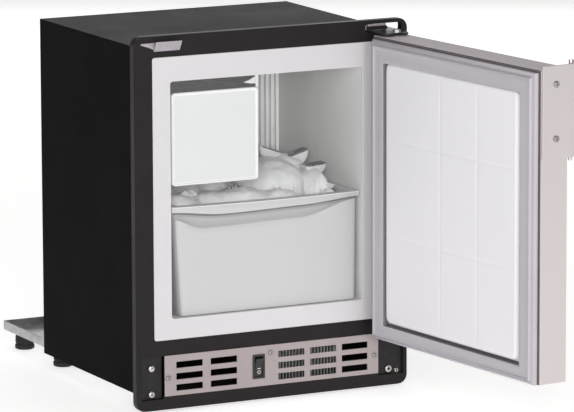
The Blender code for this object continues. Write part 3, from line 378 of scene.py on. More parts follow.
def sweep(bm, path, radius, steps=12, closed_path=False):
    """A round tube along a path of points."""
    rings = []
    side = None
    for i, point in enumerate(path):
        before = path[i - 1] if i or closed_path else point
        after = path[(i + 1) % len(path)] if i + 1 < len(path) or closed_path else point
        along = (after - before).normalized()
        if side is None:
            side = along.orthogonal().normalized()
        side = (side - along * side.dot(along)).normalized()
        other = along.cross(side)
        rings.append([bm.verts.new(point + (side * math.cos(t) + other * math.sin(t)) * radius)
                      for t in (2 * math.pi * k / steps for k in range(steps))])
    if not closed_path:
        bm.faces.new(rings[0][::-1])
        bm.faces.new(rings[-1])
    bridge(bm, rings, closed_path)


def sheet(bm, rows):
    """The faces between rows of points."""
    grid = [[bm.verts.new(point) for point in row] for row in rows]
    for row, above in zip(grid, grid[1:]):
        for i in range(len(row) - 1):
            bm.faces.new((row[i], row[i + 1], above[i + 1], above[i]))


def close_below(bm, move):
    """A skirt down from the open border, where move puts its corners, and a face under it."""
    made = bmesh.ops.extrude_edge_only(bm, edges=[e for e in bm.edges if e.is_boundary])
    for v in made["geom"]:
        if isinstance(v, bmesh.types.BMVert):
            move(v.co)
    bmesh.ops.contextual_create(bm, geom=[e for e in bm.edges if e.is_boundary])


def rounded_outline(x, z, radius, steps=6):
    points = []
    for cx, cz, start in ((x[1] - radius, z[1] - radius, 0), (x[0] + radius, z[1] - radius, 90),
                          (x[0] + radius, z[0] + radius, 180),
                          (x[1] - radius, z[0] + radius, 270)):
        for i in range(steps + 1):
            t = math.radians(start + 90 * i / steps)
            points.append((cx + radius * math.cos(t), cz + radius * math.sin(t)))
    return points


def ring(bm, box_x, box_z, widths, stations, second_look=()):
    """A mitred frame: stations are (share of the width from outside in, y), widths are left,
    low, high and right. Faces after the stations in second_look take the second material."""
    rings = []
    for share, y in stations:
        left, right = box_x[0] + widths[0] * share, box_x[1] - widths[3] * share
        low, high = box_z[0] + widths[1] * share, box_z[1] - widths[2] * share
        corners = ((left, y, low), (right, y, low), (right, y, high), (left, y, high))
        rings.append([bm.verts.new(corner) for corner in corners])
    faces = bridge(bm, rings, close=True)
    for station in second_look:
        for face in faces[4 * station:4 * station + 4]:
            face.material_index = 1


def flat_ring(bm, box_x, box_z, widths, low, high):
    ring(bm, box_x, box_z, widths, [(0.0, low), (0.0, high), (1.0, high), (1.0, low)])


def smoothstep(t):
    t = max(0.0, min(1.0, t))
    return t * t * (3 - 2 * t)


def spaced(low, high, count, extra=()):
    """Even steps from low to high with close steps round each (value, reach, steps) in extra."""
    values = [low + (high - low) * i / count for i in range(count + 1)]
    for value, reach, steps in extra:
        values += [value + reach * k / steps for k in range(-steps, steps + 1)]
    return sorted({round(v, 6) for v in values if low <= v <= high})


# ---- carried-over nodes
# the CAD nodes that are shown as they are: look, width of the soft edges, names
for look, width, names in (
        (shell_paint, 0.0012, "cabinet_shell"),
        (flange_paint, 0.0008, "front_flange"),
        (hinge_paint, 0.0004, "hinge_blank upper_hinge_bracket lower_hinge_bracket"),
        (hinge_paint, 0.0004, "hinge_clamp_strip"),
        (frame_plastic, 0.0006, "breaker_frame"),
        (liner_plastic, 0.0005, "liner"),
        (liner_plastic, 0.0004, "icemaker_housing"),
        (dark_band, 0.0004, "icemaker_top_band"),
        (taupe_paint, 0.0003, "grille_plate"),
        (black_plastic, 0.0008, "switch_housing"),
        (black_plastic, 0.0005, "power_inlet"),
        (strike_steel, 0.0003, "latch_strike"),
        (zinc_steel, 0.0003, "shutoff_arm"),
        (screw_steel, 0.0003, "upper_hinge_pin upper_hinge_washer"),
        (stainless, 0.0004, "door_skin"),
        (stainless, 0.0003, "handle_plate latch_rod"),
        (foam_yellow, 0.0004, "door_foam insulation_foam"),
        (galvanised, 0.0005, "base_pan rear_panel wiring_box"),
        (enamel, 0.0005, "fan_shroud"),
        (aluminium, 0.0004, "ice_mould"),
        (white_plastic, 0.0005, "ejector_shaft stripper fill_cup fill_tube water_valve"),
        (enamel, 0.0008, "compressor"),
        (enamel, 0.0006, "fan_motor"),
        (copper, 0.0003, "discharge_tube suction_tube liquid_tube filter_drier")):
    for name in names.split():
        obj = NODES[name]
        obj.data.materials.clear()
        obj.data.materials.append(look)
        obj.data.polygons.foreach_set("use_smooth", [True] * len(obj.data.polygons))
        obj.modifiers.new("weld", "WELD").merge_threshold = 0.00002
        rounded(obj, width, 3 if name == "switch_housing" else 2)


# ---- screws
# a pan head in shares of its radius and height, and the arms, floor and taper of its cross
PAN_HEAD = ((0.0, 0.0), (0.99, 0.0), (1.0, 0.25), (0.93, 0.6), (0.74, 0.88), (0.45, 1.0),
            (0.0, 1.0))
CROSS_LONG, CROSS_THICK, CROSS_LOW, CROSS_TAPER = 0.56, 0.15, 0.28, 0.55
MIN_HEAD = 0.0018
SLANTED_HEAD = 0.0022


def screw_mesh(name, radius, height):
    """A pan head with a cross recess, its seat at the origin and its top along +Z."""
    bm = bmesh.new()
    lathe(bm, [(radius * a, height * b) for a, b in PAN_HEAD], Vector((0, 0, 0)), steps=28)
    head = bpy.data.objects.new(name + "_head", finished(bm, name + "_head"))
    bm = bmesh.new()
    long, thick = radius * CROSS_LONG, radius * CROSS_THICK
    for a, b in ((long, thick), (thick, long)):
        for v in add_box(bm, (-a, a), (-b, b), (height * CROSS_LOW, height * 1.6)):
            if v.co.z < height:
                v.co.x *= CROSS_TAPER
                v.co.y *= CROSS_TAPER
    tool = bpy.data.objects.new(name + "_tool", finished(bm, name + "_tool"))
    for obj in (head, tool):
        SHOWN.link(obj)
    mod = head.modifiers.new("recess", "BOOLEAN")
    mod.operation = "DIFFERENCE"
    mod.solver = "EXACT"
    mod.use_self = True
    mod.object = tool
    depsgraph = bpy.context.evaluated_depsgraph_get()
    mesh = bpy.data.meshes.new_from_object(head.evaluated_get(depsgraph))
    mesh.name = name
    for obj in (head, tool):
        bpy.data.objects.remove(obj)
    mesh.materials.clear()
    return mesh


def put_screw(node, toward, body, spin, look):
    """The detailed head that stands for a CAD screw, its axis along toward."""
    lo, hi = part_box(node)
    middle = (lo + hi) / 2
    size = hi - lo
    axis = Vector(toward).normalized()
    height = SLANTED_HEAD
    if max(abs(part) for part in axis) > 0.999:
        height = max(abs(sum(size[i] * axis[i] for i in range(3))), MIN_HEAD)
    turn = axis.to_track_quat("Z", "Y").to_matrix().to_4x4() @ turned(spin, "Z")
    mesh = screw_mesh(node + "_mesh", max(size) / 2, height)
    seat = middle - axis * height / 2
    link(node + "_cross", mesh, (look,), body, Matrix.Translation(seat) @ turn,
         (node,))


# each screw with the turn of its cross, in degrees
for node, spin, look in (("grille_screw_left", 20, screw_steel),
                         ("grille_screw_middle", 48, screw_steel),
                         ("grille_screw_right", 5, screw_steel),
                         ("blank_screw_upper", 33, zinc_steel),
                         ("blank_screw_lower", 12, zinc_steel)):
    put_screw(node, (0, -1, 0), "cabinet", spin, look)
outward = (DOOR.to_3x3() @ Vector((-1, 0, 0))).normalized()
for node, spin in (("handle_screw_upper", 15), ("handle_screw_lower", 40)):
    put_screw(node, outward, "door", spin, screw_steel)


# ---- door inside
gasket_lo, gasket_hi = closed("door_gasket")
liner_lo, liner_hi = closed("door_liner")
skin_lo, skin_hi = closed("door_skin")

# the gasket: outer foot, crest, broad web and shaded inner wall
GASKET_WIDTHS = (0.0295, 0.0197, 0.0268, 0.027)
back, crest = gasket_lo.y, gasket_hi.y
section = [(0.0, back), (0.0, back + 0.0036), (0.04, back + 0.0047), (0.15, back + 0.0054),
           (0.19, back + 0.0044), (0.225, back + 0.0058), (0.25, crest), (0.31, crest),
           (0.345, back + 0.0068), (0.4, back + 0.0064), (0.7, back + 0.0067),
           (0.93, back + 0.0064), (0.99, back + 0.0056), (1.0, back + 0.005), (1.0, back)]
INNER_WALL = (12, 13)
bm = bmesh.new()
ring(bm, (gasket_lo.x, gasket_hi.x), (gasket_lo.z, gasket_hi.z), GASKET_WIDTHS, section,
     INNER_WALL)
piece(bm, "gasket_profile", (gasket_rubber, gasket_shade), "door", DOOR,
      ("door_gasket",), 50)

# painted shade in the seams under the gasket's outer foot and between the liner and the skin:
# how far outside the gasket, how wide, and between which depths
SEAMS = ((0.0017, 0.0026, -0.0108, -0.01),
         (gasket_lo.x - liner_lo.x + 0.001, 0.0014, -0.0118, -0.0104))
SEAM_LOW = liner_lo.z - 0.0006
bm = bmesh.new()
for out, wide, low, high in SEAMS:
    flat_ring(bm, (gasket_lo.x - out, gasket_hi.x + out),
              (max(gasket_lo.z - out, SEAM_LOW), gasket_hi.z + out), (wide,) * 4, low, high)
# and painted shadow on the gap floor between gasket and raised panel, widest left and below
GAP_WIDTHS = (0.004, 0.0032, 0.0008, 0.0026)
flat_ring(bm, (gasket_lo.x + 0.0292, gasket_hi.x - 0.0267),
          (gasket_lo.z + 0.0194, gasket_hi.z - 0.0266), GAP_WIDTHS, -0.011, -0.0106)
piece(bm, "door_seams", (gap_shade,), "door", DOOR)

# the raised panel, the flat liner round it and how far in its rolled edge reaches
PANEL_HALF = 0.1412
PANEL_MID = 0.0028
PANEL_Z = (0.092, 0.4245)
PANEL_BASE = -0.0108
PANEL_CORNER = 0.01
PANEL_RISE = 0.006
PANEL_ROLL = 0.0055
# the pressed lines on it, their depth and half width, and where they fade out at the edge
PRESS_X = (0.0237, -0.0548)
PRESS_Z = (0.327, 0.204)
PRESS_DEPTH = 0.00042
PRESS_HALF = 0.0022
PRESS_FADE = 0.02


def panel_height(x, z):
    """The panel's rise: a field with a rolled edge, parted into nine by the pressed lines."""
    edge_x = PANEL_HALF - abs(x - PANEL_MID)
    middle = (PANEL_Z[0] + PANEL_Z[1]) / 2
    edge_z = (PANEL_Z[1] - PANEL_Z[0]) / 2 - abs(z - middle)
    if edge_x < PANEL_CORNER and edge_z < PANEL_CORNER:
        edge = PANEL_CORNER - math.hypot(PANEL_CORNER - edge_x, PANEL_CORNER - edge_z)
    else:
        edge = min(edge_x, edge_z)
    rolled = min(1.0, max(0.0, edge) / PANEL_ROLL)
    rise = PANEL_RISE * math.sqrt(max(0.0, 1 - (1 - rolled) ** 2))
    press = 0.0
    for d in [abs(x - line) for line in PRESS_X] + [abs(z - line) for line in PRESS_Z]:
        press += PRESS_DEPTH * math.exp(-(d / PRESS_HALF) ** 2) * smoothstep(edge / PRESS_FADE)
    return rise - press


def panel_steps(low, high, count, lines):
    """Steps across the panel and just past it, close together at its edges and its lines."""
    return spaced(low - 0.0005, high + 0.0005, count,
                  [(low + 0.003, 0.0036, 7), (high - 0.003, 0.0036, 7)]
                  + [(line, 0.0042, 6) for line in lines])


def onto_liner(co):
    co.y = PANEL_BASE - 0.0008


bm = bmesh.new()
xs = panel_steps(PANEL_MID - PANEL_HALF, PANEL_MID + PANEL_HALF, 24, PRESS_X)
zs = panel_steps(*PANEL_Z, 28, PRESS_Z)
sheet(bm, [[(x, PANEL_BASE + panel_height(x, z), z) for x in xs] for z in zs])
close_below(bm, onto_liner)
# the flat flange of the liner, from under the panel out to the skin
UNDER = 0.004
side_width = liner_hi.x - PANEL_HALF + UNDER
ring(bm, (liner_lo.x, liner_hi.x), (liner_lo.z, liner_hi.z),
     (side_width, PANEL_Z[0] - liner_lo.z + UNDER, liner_hi.z - PANEL_Z[1] + UNDER, side_width),
     [(0.0, liner_lo.y), (0.0, PANEL_BASE - 0.0004), (0.02, PANEL_BASE - 0.0001),
      (1.0, PANEL_BASE - 0.0001), (1.0, liner_lo.y)])
piece(bm, "door_panel", (panel_plastic,), "door", DOOR, ("door_liner",), 50)

# grey cap strip along the door's top
bm = bmesh.new()
add_box(bm, (skin_lo.x + 0.0006, skin_hi.x - 0.0006), (skin_lo.y + 0.001, skin_hi.y - 0.0006),
        (skin_hi.z - 0.0004, skin_hi.z + 0.00022))
piece(bm, "door_top_strip", (strip_plastic,), "door", DOOR)

# ---- ice bin
bin_lo, bin_hi = local("ice_bin")
BODY_X = (bin_lo.x + 0.0024, bin_hi.x + 0.0008)
LIP_X = (bin_lo.x, bin_hi.x + 0.002)
LIP_BOW = 0.0085
FRONT = bin_lo.y + LIP_BOW - 0.0012
REAR = bin_hi.y - 0.003
WALL = 0.0025
CORNER = 0.009
# how far the left and the right wall lean in, from the rim down to the floor
DRAFT = (0.0085, 0.0014)
MIDDLE_X, HALF_X = (LIP_X[0] + LIP_X[1]) / 2, (LIP_X[1] - LIP_X[0]) / 2
# the lower edges of the lip and of the finger scoop under it: (x, drop below the rim)
LIP_EDGE = ((bin_lo.x, 0.007), (bin_lo.x + 0.068, 0.0122), (0.041, 0.01), (bin_hi.x, 0.0062))
SCOOP_EDGE = ((bin_lo.x, 0.016), (bin_lo.x + 0.042, 0.03), (0.041, 0.0275),
              (bin_hi.x, 0.0095))
SCOOP_DEPTH = 0.0045


def between(x, pairs):
    """Smooth interpolation through (x, value) pairs."""
    for (x0, v0), (x1, v1) in zip(pairs, pairs[1:]):
        if x <= x1:
            return v0 + (v1 - v0) * smoothstep((x - x0) / (x1 - x0))
    return pairs[-1][1]


def bow(x):
    return LIP_BOW * max(0.0, 1.0 - ((x - MIDDLE_X) / HALF_X) ** 2)


def rim(x):
    return bin_hi.z


def inner_floor(x):
    return bin_lo.z + WALL


def lip_low(x):
    return bin_hi.z - between(x, LIP_EDGE)


def scoop_low(x):
    return bin_hi.z - between(x, SCOOP_EDGE)


def front_y(x, z):
    """Where the bin's front wall stands: it falls back in the scoop under the lip."""
    low, high = scoop_low(x), lip_low(x)
    t = max(0.0, min(1.0, (z - low) / max(high - low, 1e-6)))
    return FRONT + 0.0014 + SCOOP_DEPTH * (1 - (1 - t) ** 2.5)


def wall_stops(x):
    """Heights where the front wall's look changes, from the bottom up to behind the lip: the
    scoop and its deep part keep some height where they run out at the sides."""
    low, high = scoop_low(x), lip_low(x) + 0.0008
    # the painted shadow line reaches down as far as the lip's shadow would fall
    line = max(lip_low(x) - 0.0022 - 0.18 * (0.0059 + bow(x)), low + 0.35 * (high - low))
    deep = max(line - 0.0026, low + 0.22 * (high - low))
    return (bin_lo.z, low, deep, line, high)


# the front wall's columns as (x, how far behind the front), wrapped round both corners
turns = [math.radians(90 * i / 6) for i in range(7)]
columns = [(BODY_X[0], REAR - FRONT)]
columns += [(BODY_X[0] + CORNER - CORNER * math.cos(t), CORNER - CORNER * math.sin(t))
            for t in turns]
columns += [(x, 0.0) for x in spaced(BODY_X[0] + CORNER + 0.004, BODY_X[1] - CORNER - 0.004, 40)]
columns += [(BODY_X[1] - CORNER + CORNER * math.sin(t), CORNER - CORNER * math.cos(t))
            for t in turns]
columns.append((BODY_X[1], REAR - FRONT))
# its levels in four bands, each with its own look: up to the finger scoop, then painted shade
# under the lip, darker upward: the scoop, its deep part and a painted shadow line under the lip
levels = [(band, k / count) for band, count in enumerate((14, 8, 3)) for k in range(count)]
levels += [(3, k / 3) for k in range(4)]
# material slots of the painted highlight on the lip's rolled edge and of the painted shade on the
# tub's left side
LIP_HIGHLIGHT_LOOK, SIDE_SHADE_LOOK = 4, 5
LEFT_FACES = 4
bm = bmesh.new()
loops = []
for band, share in levels:
    loop = []
    for x, setback in columns:
        stops = wall_stops(x)
        z = stops[band] + (stops[band + 1] - stops[band]) * share
        fall = (bin_hi.z - z) / (bin_hi.z - bin_lo.z)
        along = (x - BODY_X[0]) / (BODY_X[1] - BODY_X[0])
        px = x + (DRAFT[0] * (1 - along) - DRAFT[1] * along) * fall
        y = front_y(x, z) + setback if setback < REAR - FRONT - 1e-6 else REAR
        loop.append(bm.verts.new((px, y, z)))
    loops.append(loop)
bm.faces.new(loops[0][::-1])
for number, face in enumerate(bridge(bm, loops)):
    level, column = divmod(number, len(columns))
    if column < LEFT_FACES:
        face.material_index = SIDE_SHADE_LOOK
    elif column < len(columns) - 2:
        face.material_index = levels[level][0]

# the lip: a band that bows forward, rolled over at its top, and the rim and walls inside it
# (inset, height line, offset from it, inset at the back, share of the bow)
LIP_SECTION = (
    (0.001, lip_low, 0.0004, 0.001, 1.0), (0.0002, lip_low, 0.0001, 0.0002, 1.0),
    (0.0, lip_low, 0.001, 0.0, 1.0), (0.0, rim, -0.0012, 0.0, 1.0),
    (0.0004, rim, -0.0003, 0.0004, 1.0), (0.0013, rim, 0.0, 0.0013, 1.0),
    (0.0112, rim, -0.0004, 0.0055, 0.6), (0.0122, rim, -0.0018, 0.0068, 0.4),
    (0.0124, rim, -0.006, 0.007, 0.35), (0.0142, inner_floor, 0.003, 0.009, 0.35),
    (0.017, inner_floor, 0.0, 0.012, 0.35))
# painted highlight on the rolled edge: it lies between these of its loops
BRIGHT_FROM, BRIGHT_TO = 3, 5
lip_columns = [(LIP_X[0], True)] + [(x, False) for x in spaced(*LIP_X, 44)] + [(LIP_X[1], True)]
lip = []
for inset, height, offset, back_inset, bowed in LIP_SECTION:
    loop = []
    for x, at_back in lip_columns:
        px = MIDDLE_X + (HALF_X - inset) * ((x - MIDDLE_X) / HALF_X)
        py = bin_hi.y - back_inset if at_back else FRONT + inset - bowed * bow(x)
        loop.append(bm.verts.new((px, py, height(x) + offset)))
    lip.append(loop)
# the wall's top loop and the lip have other counts: join them by the nearest column
first, second = loops[-1], lip[0]
last_i, last_j = len(first) - 1, len(second) - 1
i = j = 0
while i < last_i or j < last_j:
    if i < last_i and (j == last_j or i / last_i <= j / last_j):
        bm.faces.new((first[i], first[i + 1], second[j]))
        i += 1
    else:
        bm.faces.new((first[i], second[j + 1], second[j]))
        j += 1
bm.faces.new((first[-1], first[0], second[0], second[-1]))
around = len(lip_columns)
for face in bridge(bm, lip)[BRIGHT_FROM * around:BRIGHT_TO * around]:
    face.material_index = LIP_HIGHLIGHT_LOOK
bm.faces.new(lip[-1])
piece(bm, "bin_tub", (bin_plastic, bin_shade, bin_deep_shade, bin_shadow_line, highlight_plastic, bin_side_shade), "bin",
      CAB, ("ice_bin",), 38)

# ---- ice
heap_lo, heap_hi = local("ice_heap")
HEAP_TOP = [v.co - ORIGIN for v in NODES["ice_heap"].data.vertices if v.co.z - ORIGIN.z > 0.2]
HEAP_X = (heap_lo.x + 0.0004, heap_hi.x)
HEAP_Y = (heap_lo.y + 0.0004, heap_hi.y)
# how sharply one lump gives way to the next where they meet
BLEND = 520.0
# a half moon's rim: (scale of its outline, share of half its thickness)
MOON_RIM = [(0.74, 1.0), (0.9, 0.93), (0.98, 0.74), (1.0, 0.45)]


def heap_height(x, y):
    """The CAD heap's height near a point, by distance-weighted corners."""
    near = sorted((math.hypot(p.x - x, p.y - y), p.z) for p in HEAP_TOP)[:4]
    weights = [1 / (d + 0.002) for d, _ in near]
    return sum(w * z for w, (_, z) in zip(weights, near)) / sum(weights)


def in_heap(across, deep):
    """A point of the heap's box from its shares of the width and the depth."""
    return (HEAP_X[0] + (HEAP_X[1] - HEAP_X[0]) * across,
            HEAP_Y[0] + (HEAP_Y[1] - HEAP_Y[0]) * deep)


def crescent(bm, place, radius, thick, cap):
    """One half moon of ice, its round side down: soft rims, and the cut side as material 1,
    which carries painted shade.
    """
    steps = 16
    start = math.asin(min(0.95, cap / radius))
    outline = []
    for i in range(steps + 1):
        t = math.pi + start + (math.pi - 2 * start) * i / steps
        outline.append((radius * math.cos(t), radius * math.sin(t) + cap))
    centre = -radius * 0.42
    rings = []
    for scale, share in [(a, -b) for a, b in MOON_RIM] + MOON_RIM[::-1]:
        rings.append([bm.verts.new(place @ Vector((a * scale, thick / 2 * share,
                                                   centre + (b - centre) * scale)))
                      for a, b in outline])
    bm.faces.new(rings[0][::-1])
    bm.faces.new(rings[-1])
    count = len(outline)
    for face in bridge(bm, rings)[count - 1::count]:
        face.material_index = 1


# frozen-together lumps: (share across, share deep, height over the bin's rim, radius)
LUMPS = (
    (0.71, 0.37, 0.0365, 0.054), (0.46, 0.16, 0.01, 0.046), (0.87, 0.5, 0.0335, 0.036),
    (0.96, 0.27, 0.0235, 0.03), (0.7, 0.66, 0.037, 0.044), (0.99, 0.1, 0.004, 0.024),
    (0.28, 0.18, 0.0075, 0.04), (0.07, 0.16, 0.0085, 0.038), (0.66, 0.1, 0.006, 0.032),
    (0.2, 0.45, 0.017, 0.044), (0.42, 0.5, 0.021, 0.046), (0.8, 0.82, 0.025, 0.04),
    (0.5, 0.86, 0.018, 0.04), (0.2, 0.8, 0.01, 0.04))
SMALL_LUMPS = 40
dice = random.Random(11)
lumps = []
for across, deep, rise, radius in LUMPS:
    x, y = in_heap(across, deep)
    lumps.append((x, y, bin_hi.z + rise, radius, dice.uniform(0.75, 1.0),
                  dice.uniform(0, math.pi)))
for _ in range(SMALL_LUMPS):
    x, y = in_heap(dice.uniform(0.03, 0.97), dice.uniform(0.03, 0.97))
    lumps.append((x, y, heap_height(x, y) - dice.uniform(0.004, 0.009),
                  dice.uniform(0.018, 0.027), dice.uniform(0.5, 1.0), dice.uniform(0, math.pi)))


def ice_top(x, y):
    """The upper surface of the lumps, a rounded maximum of flattened domes."""
    total = math.exp((heap_height(x, y) - 0.012) * BLEND)
    for cx, cy, top, radius, flat, turn in lumps:
        dx, dy = x - cx, y - cy
        if abs(dx) > radius * 1.3 or abs(dy) > radius * 1.3:
            continue
        along = dx * math.cos(turn) + dy * math.sin(turn)
        aside = (dy * math.cos(turn) - dx * math.sin(turn)) / flat
        d = (along * along + aside * aside) / (radius * radius)
        if d < 1:
            dome = radius * 0.5 * (1 - math.sqrt(1 - d))
            total += math.exp((top - dome - 0.004 * d) * BLEND)
    return math.log(total) / BLEND


def into_tub(co):
    """Brings a corner down to the heap's foot, inside the tub's leaning walls."""
    co.z = heap_lo.z
    co.x = max(BODY_X[0] + DRAFT[0] + 0.005, min(BODY_X[1] - DRAFT[1] - 0.005, co.x))
    co.y = max(FRONT + 0.011, co.y)


CELLS_X, CELLS_Y = 116, 100
EDGE_CELLS = 7
EDGE_DIP = 0.012
RIPPLES = ((0.0016, 0, 75), (0.0007, 1, 210))
rows = []
for j in range(CELLS_Y + 1):
    row = []
    for i in range(CELLS_X + 1):
        x, y = in_heap(i / CELLS_X, j / CELLS_Y)
        edge = min(i, CELLS_X - i, j, CELLS_Y - j) / EDGE_CELLS
        dip = EDGE_DIP * max(0.0, 1 - edge) ** 2
        ripple = sum(high * noise.noise(Vector((x, y, layer)) * scale)
                     for high, layer, scale in RIPPLES)
        row.append((x, y, ice_top(x, y) - dip + ripple))
    rows.append(row)
bm = bmesh.new()
sheet(bm, rows)
close_below(bm, into_tub)
piece(bm, "ice_core", (ice_frost,), "bin", CAB, ("ice_heap",), 60)

# the half moons on the slope beside the cover, cut side up:
# (share across, share deep, height over the rim, radius, turns about Z, Y and X)
SLOPE_MOONS = ((0.795, 0.53, 0.0425, 0.0175, 4, 20, 1),
               (0.93, 0.5, 0.0345, 0.019, -3, -16, -4),
               (0.962, 0.3, 0.0265, 0.0155, 5, -4, 0),
               (0.99, 0.16, 0.006, 0.008, 12, 18, -2))
LOOSE_MOONS = 26
bm = bmesh.new()
for across, deep, rise, radius, turn, roll, tilt in SLOPE_MOONS:
    x, y = in_heap(across, deep)
    way = turned(turn, "Z") @ turned(roll, "Y") @ turned(tilt, "X")
    crescent(bm, Matrix.Translation((x, y, bin_hi.z + rise)) @ way, radius, radius * 1.3,
             radius * 0.06)
for _ in range(LOOSE_MOONS):
    x, y = in_heap(dice.uniform(0.06, 0.62), dice.uniform(0.08, 0.92))
    way = (Matrix.Rotation(dice.uniform(0, 2 * math.pi), 4, "Z")
           @ turned(dice.uniform(-60, 60), "X") @ turned(dice.uniform(-50, 50), "Y"))
    radius = dice.uniform(0.016, 0.02)
    sunk = Matrix.Translation((x, y, ice_top(x, y) - dice.uniform(0.006, 0.011)))
    crescent(bm, sunk @ way, radius, radius, radius * 0.18)
piece(bm, "ice_crescents", (ice_body, ice_cut_shade), "bin", angle=50)

# ---- front details
# rocker: a curved key with generic on and off marks
rock_lo, rock_hi = local("rocker")
pivot = Vector(JOINTS["rocker_pivot"]["pos_m"]) - ORIGIN
ROCKER_TILT = 7.0
place = CAB @ Matrix.Translation(pivot) @ turned(ROCKER_TILT, "X")
half_h = (rock_hi.z - rock_lo.z) / 2 * 0.985
half_w = (rock_hi.x - rock_lo.x) / 2
bm = bmesh.new()
shares = [-1 + 2 * i / 12 for i in range(13)]
outline = [(-0.0042 - 0.0016 * t * t, half_h * t) for t in shares]
outline += [(0.0045, half_h * 0.98), (0.0045, -half_h * 0.98)]
prism(bm, outline, -half_w, half_w, "X")
key = piece(bm, "rocker_key", (black_plastic,), "rocker_switch", place,
            ("rocker",), 30)
rounded(key, 0.0005, 2, 40)
MARK_RADIUS = 0.0019
MARK_STEPS = 24
turns = [2 * math.pi * i / MARK_STEPS for i in range(MARK_STEPS)]
bm = bmesh.new()
add_box(bm, (-0.0022, 0.0022), (-0.0048, -0.004), (-0.0024, -0.0014))
sweep(bm, [Vector((MARK_RADIUS * math.cos(t), -0.0049, -0.0066 + MARK_RADIUS * math.sin(t)))
           for t in turns], 0.00042, 8, True)
piece(bm, "rocker_marks", (mark_ink,), "rocker_switch", place, angle=40)

# condenser: wavy fins, each with an upright strip before it, and the hairpin of its tube
coil_lo, coil_hi = local("condenser")
FINS = 22
FIN_SPAN = 0.094
FIN_THICK = 0.0009
FIN_Y = (0.02, 0.06)
FIN_Z = [0.025 + 0.052 * k / 10 for k in range(11)]
TUBE_Y, TUBE_MID_Z, TUBE_BEND = 0.04, 0.051, 0.011
bm = bmesh.new()
for i in range(FINS):
    x = coil_lo.x + 0.0055 + FIN_SPAN * i / (FINS - 1)
    left, right = [[[bm.verts.new((x + side + 0.0003 * math.sin(k * 1.9 + i), y, z))
                     for k, z in enumerate(FIN_Z)] for y in FIN_Y] for side in (0, FIN_THICK)]
    add_box(bm, (x, x + 0.0011), (0.0122, 0.0156), (0.02, 0.076))
    for a, b in ((left[0], left[1]), (right[1], right[0]), (left[1], right[1]),
                 (right[0], left[0])):
        for k in range(10):
            bm.faces.new((a[k], b[k], b[k + 1], a[k + 1]))
    for k in (0, 10):
        bm.faces.new((left[0][k], left[1][k], right[1][k], right[0][k]))
bend_x = coil_hi.x - 0.0145
path = [Vector((coil_lo.x, TUBE_Y, 0.04)), Vector((bend_x, TUBE_Y, 0.04))]
for k in range(9):
    t = math.radians(-90 + 180 * k / 8)
    path.append(Vector((bend_x + TUBE_BEND * math.cos(t), TUBE_Y,
                        TUBE_MID_Z + TUBE_BEND * math.sin(t))))
path.append(Vector((coil_lo.x, TUBE_Y, 0.062)))
sweep(bm, path, 0.0034, 14)
piece(bm, "condenser_coil", (fin_metal,), "cabinet", CAB, ("condenser",))

# black sheet round the condenser: tray, apron before it, baffle behind and duct to the fan;
# such a baffle is real, and its flat near-black is painted shade over the lit machine inside
pan_lo, pan_hi = local("base_pan")
SIDE = (-(pan_hi.x - 0.0025), pan_hi.x - 0.0025)
TRAY_Z = pan_lo.z + 0.002
BAFFLE_Y = coil_hi.y + 0.005
ROOF = 0.0815
SHEET = 0.001
DUCT_X = (coil_lo.x - 0.001, coil_hi.x + 0.001)
DUCT_Z = (coil_lo.z - 0.0005, coil_hi.z + 0.0005)
bm = bmesh.new()
add_box(bm, SIDE, (pan_lo.y + 0.0022, BAFFLE_Y + 0.001), (TRAY_Z, TRAY_Z + 0.0008))
add_box(bm, SIDE, (pan_lo.y - 0.0007, pan_lo.y - 0.0002), (TRAY_Z - 0.011, pan_hi.z + 0.0012))
add_box(bm, SIDE, (pan_lo.y - 0.006, pan_lo.y - 0.0004), (TRAY_Z - 0.0112, TRAY_Z - 0.0104))
for x, z in (((SIDE[0], DUCT_X[0]), (TRAY_Z, ROOF)), ((DUCT_X[1], SIDE[1]), (TRAY_Z, ROOF)),
             (DUCT_X, (DUCT_Z[1], ROOF)), (DUCT_X, (TRAY_Z, DUCT_Z[0]))):
    add_box(bm, x, (BAFFLE_Y, BAFFLE_Y + SHEET), z)
for x, z in (((DUCT_X[0] - SHEET, DUCT_X[0]), DUCT_Z), ((DUCT_X[1], DUCT_X[1] + SHEET), DUCT_Z),
             (DUCT_X, (DUCT_Z[1], DUCT_Z[1] + SHEET)), (DUCT_X, (DUCT_Z[0] - SHEET, DUCT_Z[0]))):
    add_box(bm, x, (BAFFLE_Y, BAFFLE_Y + 0.165), z)
piece(bm, "air_duct", (duct_shade_black,), "cabinet")

# feet: ribbed rubber under a plain stem
for node in [n for n in NODES if n.startswith("foot_")]:
    lo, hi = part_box(node)
    centre = Vector(((lo.x + hi.x) / 2, (lo.y + hi.y) / 2, 0))
    r, h = (hi.x - lo.x) / 2, hi.z
    bm = bmesh.new()
    lathe(bm, [(0, 0), (r * 0.8, 0), (r * 0.96, 0.001), (r, 0.003), (r * 0.985, 0.006),
               (r * 0.9, 0.0066), (r * 0.9, 0.0086), (r * 0.96, 0.0092), (r * 0.93, h * 0.72),
               (r * 0.72, h * 0.86), (r * 0.5, h * 0.9), (r * 0.5, h), (0, h)],
          centre, steps=40)
    piece(bm, node + "_ribbed", (foot_rubber,), "cabinet", Matrix.Identity(4),
          (node,), 28)

